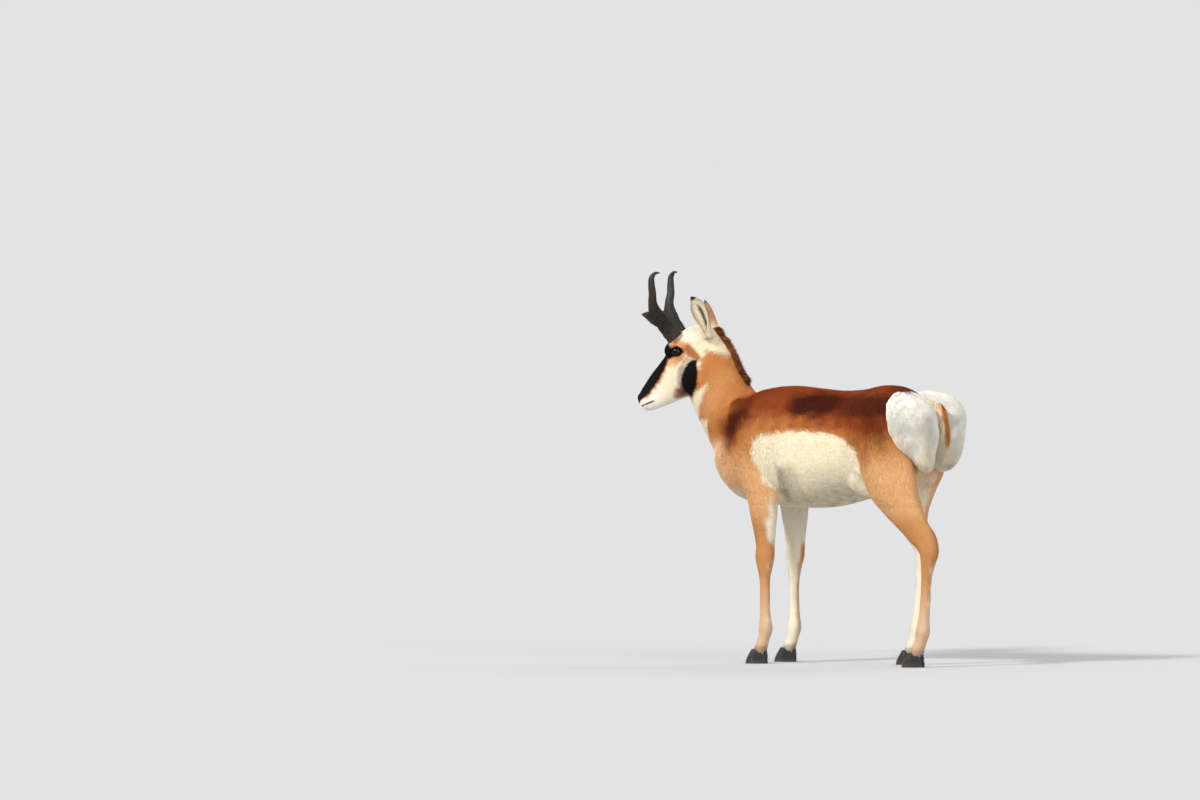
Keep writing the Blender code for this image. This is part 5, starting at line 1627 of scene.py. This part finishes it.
class Value:
    """A socket of a shader, for sums written as Python."""

    def __init__(self, look, socket):
        self.look = look
        self.socket = socket

    def do(self, operation, *values):
        """One step of mathematics on these values."""
        node = self.look.node("ShaderNodeMath", {"operation": operation}, dict(enumerate(values)))
        return Value(self.look, node.outputs[0])

    def __add__(self, other):
        return self.do("ADD", self, other)

    def __radd__(self, other):
        return self.do("ADD", other, self)

    def __sub__(self, other):
        return self.do("SUBTRACT", self, other)

    def __rsub__(self, other):
        return self.do("SUBTRACT", other, self)

    def __mul__(self, other):
        return self.do("MULTIPLY", self, other)

    def __rmul__(self, other):
        return self.do("MULTIPLY", other, self)

    def __truediv__(self, other):
        return self.do("DIVIDE", self, other)

    def sine(self):
        return self.do("SINE", self)

    def within(self, low, high):
        """0 at low, 1 at high, straight between."""
        return self.do("MINIMUM", self.do("MAXIMUM", (self - low) / (high - low), 0.0), 1.0)


class Look:
    """One material, built round a Principled shader."""

    def __init__(self, name, **constants):
        self.material = bpy.data.materials.new(name)
        self.material.use_nodes = True
        self.tree = self.material.node_tree
        self.shader = self.tree.nodes["Principled BSDF"]
        self.place = Value(self, self.node("ShaderNodeTexCoord").outputs["Object"])
        self.set(**constants)

    def set(self, **values):
        """Plugs values into the shader's inputs, named with _ for a space."""
        for name, value in values.items():
            self.plug(self.shader.inputs[name.replace("_", " ")], value)

    def plug(self, socket, value):
        """Links a Value to a socket, or sets anything else on it."""
        if isinstance(value, Value):
            self.tree.links.new(value.socket, socket)
        else:
            socket.default_value = value

    def node(self, kind, settings=None, values=None):
        """A new node with its settings, and values for its inputs."""
        made = self.tree.nodes.new(kind)
        for name, value in (settings or {}).items():
            setattr(made, name, value)
        for name, value in (values or {}).items():
            self.plug(made.inputs[name], value)
        return made

    def attribute(self, name, output="Fac"):
        """What each point of the mesh says under this name."""
        made = self.node("ShaderNodeAttribute", {"attribute_name": name})
        return Value(self, made.outputs[output])

    def noise(self, scale, detail=2.0, place=None, roughness=0.5):
        """Cloudy noise, with scale clouds to the metre."""
        values = {"Vector": place or self.place, "Scale": scale, "Detail": detail, "Roughness": roughness}
        return Value(self, self.node("ShaderNodeTexNoise", None, values).outputs["Fac"])

    def mix(self, factor, first, second, blend="MIX"):
        """The first colour at factor 0, going over to the second at 1."""
        made = self.node("ShaderNodeMix", {"data_type": "RGBA", "blend_type": blend, "clamp_result": True})
        for name, value in (("Factor_Float", factor), ("A_Color", first), ("B_Color", second)):
            socket = next(item for item in made.inputs if item.identifier == name)
            if not isinstance(value, (Value, float, int)):
                value = (*value, 1.0)
            self.plug(socket, value)
        return Value(self, next(item for item in made.outputs if item.identifier == "Result_Color"))

    def stretched(self, x, y, z):
        """The place, multiplied by x, y and z, so that noise on it is drawn out."""
        values = {0: self.place, 1: (x, y, z)}
        made = self.node("ShaderNodeVectorMath", {"operation": "MULTIPLY"}, values)
        return Value(self, made.outputs[0])

    def axis(self, number):
        """The place along one axis: 0, 1 or 2."""
        return Value(self, self.node("ShaderNodeSeparateXYZ", None, {0: self.place}).outputs[number])

    def bump(self, height, distance, strength=1.0):
        """Fine relief, up to distance high."""
        values = {"Height": height, "Distance": distance, "Strength": strength}
        self.set(Normal=Value(self, self.node("ShaderNodeBump", None, values).outputs["Normal"]))


def coat_look():
    """Hair: its own painted colour, varied strand by strand."""
    look = Look("hair", Specular_IOR_Level=0.10)
    strands = look.noise(900.0, 2.0)
    patches = look.noise(34.0, 3.0)
    colour = look.attribute("coat", "Color")
    colour = look.mix(strands.within(0.30, 0.75) * 0.22, colour, (0.66, 0.60, 0.54), "MULTIPLY")
    colour = look.mix(patches.within(0.35, 0.80) * 0.16, colour, (0.80, 0.74, 0.68), "MULTIPLY")
    look.set(Base_Color=colour, Roughness=0.62 + strands * 0.25)
    look.bump(strands, 0.0004, 0.35)
    return look.material


def skin_look():
    """Skin under the hair, in the same colours, with a moist nose and lid rims."""
    look = Look("skin", Specular_IOR_Level=0.22)
    fine = look.noise(620.0, 3.0)
    pores = look.noise(1500.0, 1.0)
    wet = look.attribute("bare")
    colour = look.attribute("coat", "Color")
    colour = look.mix(0.10 + fine * 0.30, colour, (0.66, 0.58, 0.52), "MULTIPLY")
    look.set(Base_Color=colour, Roughness=0.80 - wet * 0.45 + fine * 0.08)
    look.bump(fine * 0.7 + pores * 0.3 * wet, 0.0007, 0.5)
    return look.material


def horn_look():
    """Black horn, streaked along its length, greyer where it is rubbed and paler on its upper part as painted
    light.
    """
    look = Look("horn", Specular_IOR_Level=0.26)
    streaks = look.noise(260.0, 4.0, look.stretched(1.0, 1.0, 0.16), 0.62)
    grains = look.noise(900.0, 2.0)
    lumps = look.noise(70.0, 3.0)
    rubbed_and_lit = look.attribute("rubbed_and_lit")
    rough = look.attribute("rough")
    colour = look.mix(streaks.within(0.35, 0.75), (0.0050, 0.0043, 0.0040), (0.024, 0.019, 0.016))
    # Browner grey where rubbed, and on the upper horn as painted light
    colour = look.mix(rubbed_and_lit * (0.20 + 0.60 * streaks), colour, (0.090, 0.066, 0.050))
    colour = look.mix(lumps.within(0.55, 0.80) * 0.30, colour, (0.040, 0.034, 0.030))
    look.set(Base_Color=colour, Roughness=0.40 + 0.22 * rough + 0.18 * streaks)
    look.bump(streaks * (0.35 + 0.65 * rough) + grains * 0.15, 0.0011, 0.55)
    return look.material


def hoof_look():
    """Black hoof horn with rings of growth, dusty at its worn edge."""
    look = Look("hoof", Specular_IOR_Level=0.40)
    height = look.axis(2)
    wander = look.noise(40.0, 2.0)
    rings = (height * 1250.0 + wander * 6.0).sine() * 0.5 + 0.5
    grains = look.noise(700.0, 2.0, look.stretched(1.0, 1.0, 0.3))
    wear = look.attribute("wear")
    colour = look.mix(rings * 0.6 + grains * 0.3, (0.011, 0.010, 0.0095), (0.030, 0.026, 0.022))
    colour = look.mix(wear * grains.within(0.3, 0.7) * 0.6, colour, (0.120, 0.100, 0.078))
    look.set(Base_Color=colour, Roughness=0.34 + 0.18 * grains + 0.25 * wear)
    look.bump(rings * 0.6 + grains * 0.4, 0.0004, 0.5)
    return look.material


def eye_look():
    """A wet eye: dark brown round a black pupil."""
    look = Look("eye", Specular_IOR_Level=0.38, IOR=1.36)
    threads = look.noise(420.0, 3.0)
    iris = look.attribute("iris")
    brown = look.mix(threads.within(0.3, 0.7), (0.0090, 0.0045, 0.0030), (0.022, 0.011, 0.006))
    look.set(Base_Color=look.mix(iris, (0.0018, 0.0015, 0.0015), brown), Roughness=0.05 + threads * 0.03)
    return look.material


def floor_look():
    """A dull, pale floor with the faintest clouds."""
    look = Look("floor", Specular_IOR_Level=0.0)
    clouds = look.noise(1.6, 3.0)
    colour = look.mix(clouds, (0.541, 0.548, 0.564), (0.531, 0.538, 0.554))
    look.set(Base_Color=colour, Roughness=0.90 + clouds * 0.08)
    return look.material


# The solids each piece of flesh and hair stands in for
HEAD_NODES = ("head", "ear_left", "ear_right")
TRUNK_NODES = ("neck", "chest", "barrel", "hindquarters", "tail")
LEG_PARTS = ("upper", "cannon", "pastern")


def leg_nodes(leg):
    """The solids of both fore or both hind legs, without their claws."""
    return tuple(f"{leg}_{part}_{side}" for part in LEG_PARTS for side, _ in SIDES)


def claw_nodes(leg, name):
    """The two claws of one foot."""
    return tuple(f"{leg}_claw_{place}_{name}" for place in ("inner", "outer"))


def dress(piece, look, nodes):
    """Gives a piece its material, its place in the row and the solids it stands for."""
    piece.data.materials.clear()
    piece.data.materials.append(look)
    piece.data.transform(Matrix.Translation(-MIDDLE))
    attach(piece, "root")
    if nodes:
        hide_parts(*nodes)


def light(name, place, strength, softness, colour, shine):
    """A far, even light from the way of a place, as wide across as softness in degrees."""
    lamp = bpy.data.lights.new(name, "SUN")
    lamp.angle = math.radians(softness)
    lamp.energy = strength
    lamp.color = colour
    lamp.specular_factor = shine
    made = add_object(name, lamp)
    made.location = place
    made.rotation_euler = (-Vector(place)).to_track_quat("-Z", "Y").to_euler()


def make_studio():
    """A pale floor under even light, softest from the front and above the camera's left."""
    bm = bmesh.new()
    bmesh.ops.create_circle(bm, cap_ends=True, segments=96, radius=260)
    floor = object_from(bm, "floor")
    if floor.data.polygons[0].normal.z < 0:
        floor.data.flip_normals()
    floor.data.materials.append(floor_look())
    world = bpy.data.worlds.new("pale room")
    world.use_nodes = True
    world.node_tree.nodes["Background"].inputs["Color"].default_value = (0.955, 0.955, 0.955, 1)
    world.node_tree.nodes["Background"].inputs["Strength"].default_value = 0.80
    bpy.context.scene.world = world
    light("key", (-1.7, -7.2, 5.4), 2.5, 9, (1.0, 0.970, 0.925), 1.0)
    light("fill", (6.5, -3.5, 3.5), 0.80, 40, (0.98, 0.985, 1.0), 0.0)
    light("rim", (1.0, 6.0, 6.5), 0.40, 30, (1.0, 0.99, 0.97), 0.0)
    bpy.context.scene.view_settings.view_transform = "Standard"


def make_camera():
    """The photo's view: its turn and rise, with the picture's centre and width in metres."""
    right = Vector((math.cos(CAMERA_TURN), math.sin(CAMERA_TURN), 0))
    ahead = Vector((-math.sin(CAMERA_TURN), math.cos(CAMERA_TURN), 0)) * math.cos(CAMERA_RISE)
    ahead.z = -math.sin(CAMERA_RISE)
    lens = bpy.data.cameras.new("camera")
    lens.sensor_width = SENSOR
    lens.lens = SENSOR * CAMERA_AWAY / PICTURE_WIDTH
    lens.clip_end = 600
    camera = add_object("camera", lens)
    aim = right * PICTURE_CENTRE[0] + Vector((0, 0, PICTURE_CENTRE[1]))
    camera.location = aim - ahead * CAMERA_AWAY
    camera.rotation_euler = ahead.to_track_quat("-Z", "Y").to_euler()
    bpy.context.scene.camera = camera


def main():
    """Makes every piece in turn, then the studio and the camera."""
    skin = make_skin()
    colour_skin(skin)
    surface = Surface(skin.data)
    corners = [tuple(corner) for corner in surface.corners]
    skin_tree = BVHTree.FromPolygons([tuple(place) for place in surface.places], corners)
    hair = make_short_coat(surface)
    hair += [make_flared_hair(name, side, skin_tree) for name, side in SIDES]
    hair += [make_lower_rump_hair(surface), make_mane(), make_tail_hair(skin_tree), make_lashes()]
    skin.data.shade_smooth()
    hair_look = coat_look()
    dress(skin, skin_look(), HEAD_NODES + TRUNK_NODES + leg_nodes("fore") + leg_nodes("hind"))
    for piece in hair:
        dress(piece, hair_look, ())
    horn, hoof, eye = horn_look(), hoof_look(), eye_look()
    for name, side in SIDES:
        for piece, look, slot, nodes in (
            (make_horn(name, side), horn, "horn", (f"horn_{name}",)),
            (make_eye(name, side), eye, "eye", (f"eye_{name}",)),
            (make_hoof("fore", name, side), hoof, "hoof", claw_nodes("fore", name)),
            (make_hoof("hind", name, side), hoof, "hoof", claw_nodes("hind", name)),
        ):
            piece.data.shade_smooth()
            dress(piece, look, nodes)
    make_studio()
    make_camera()


main()
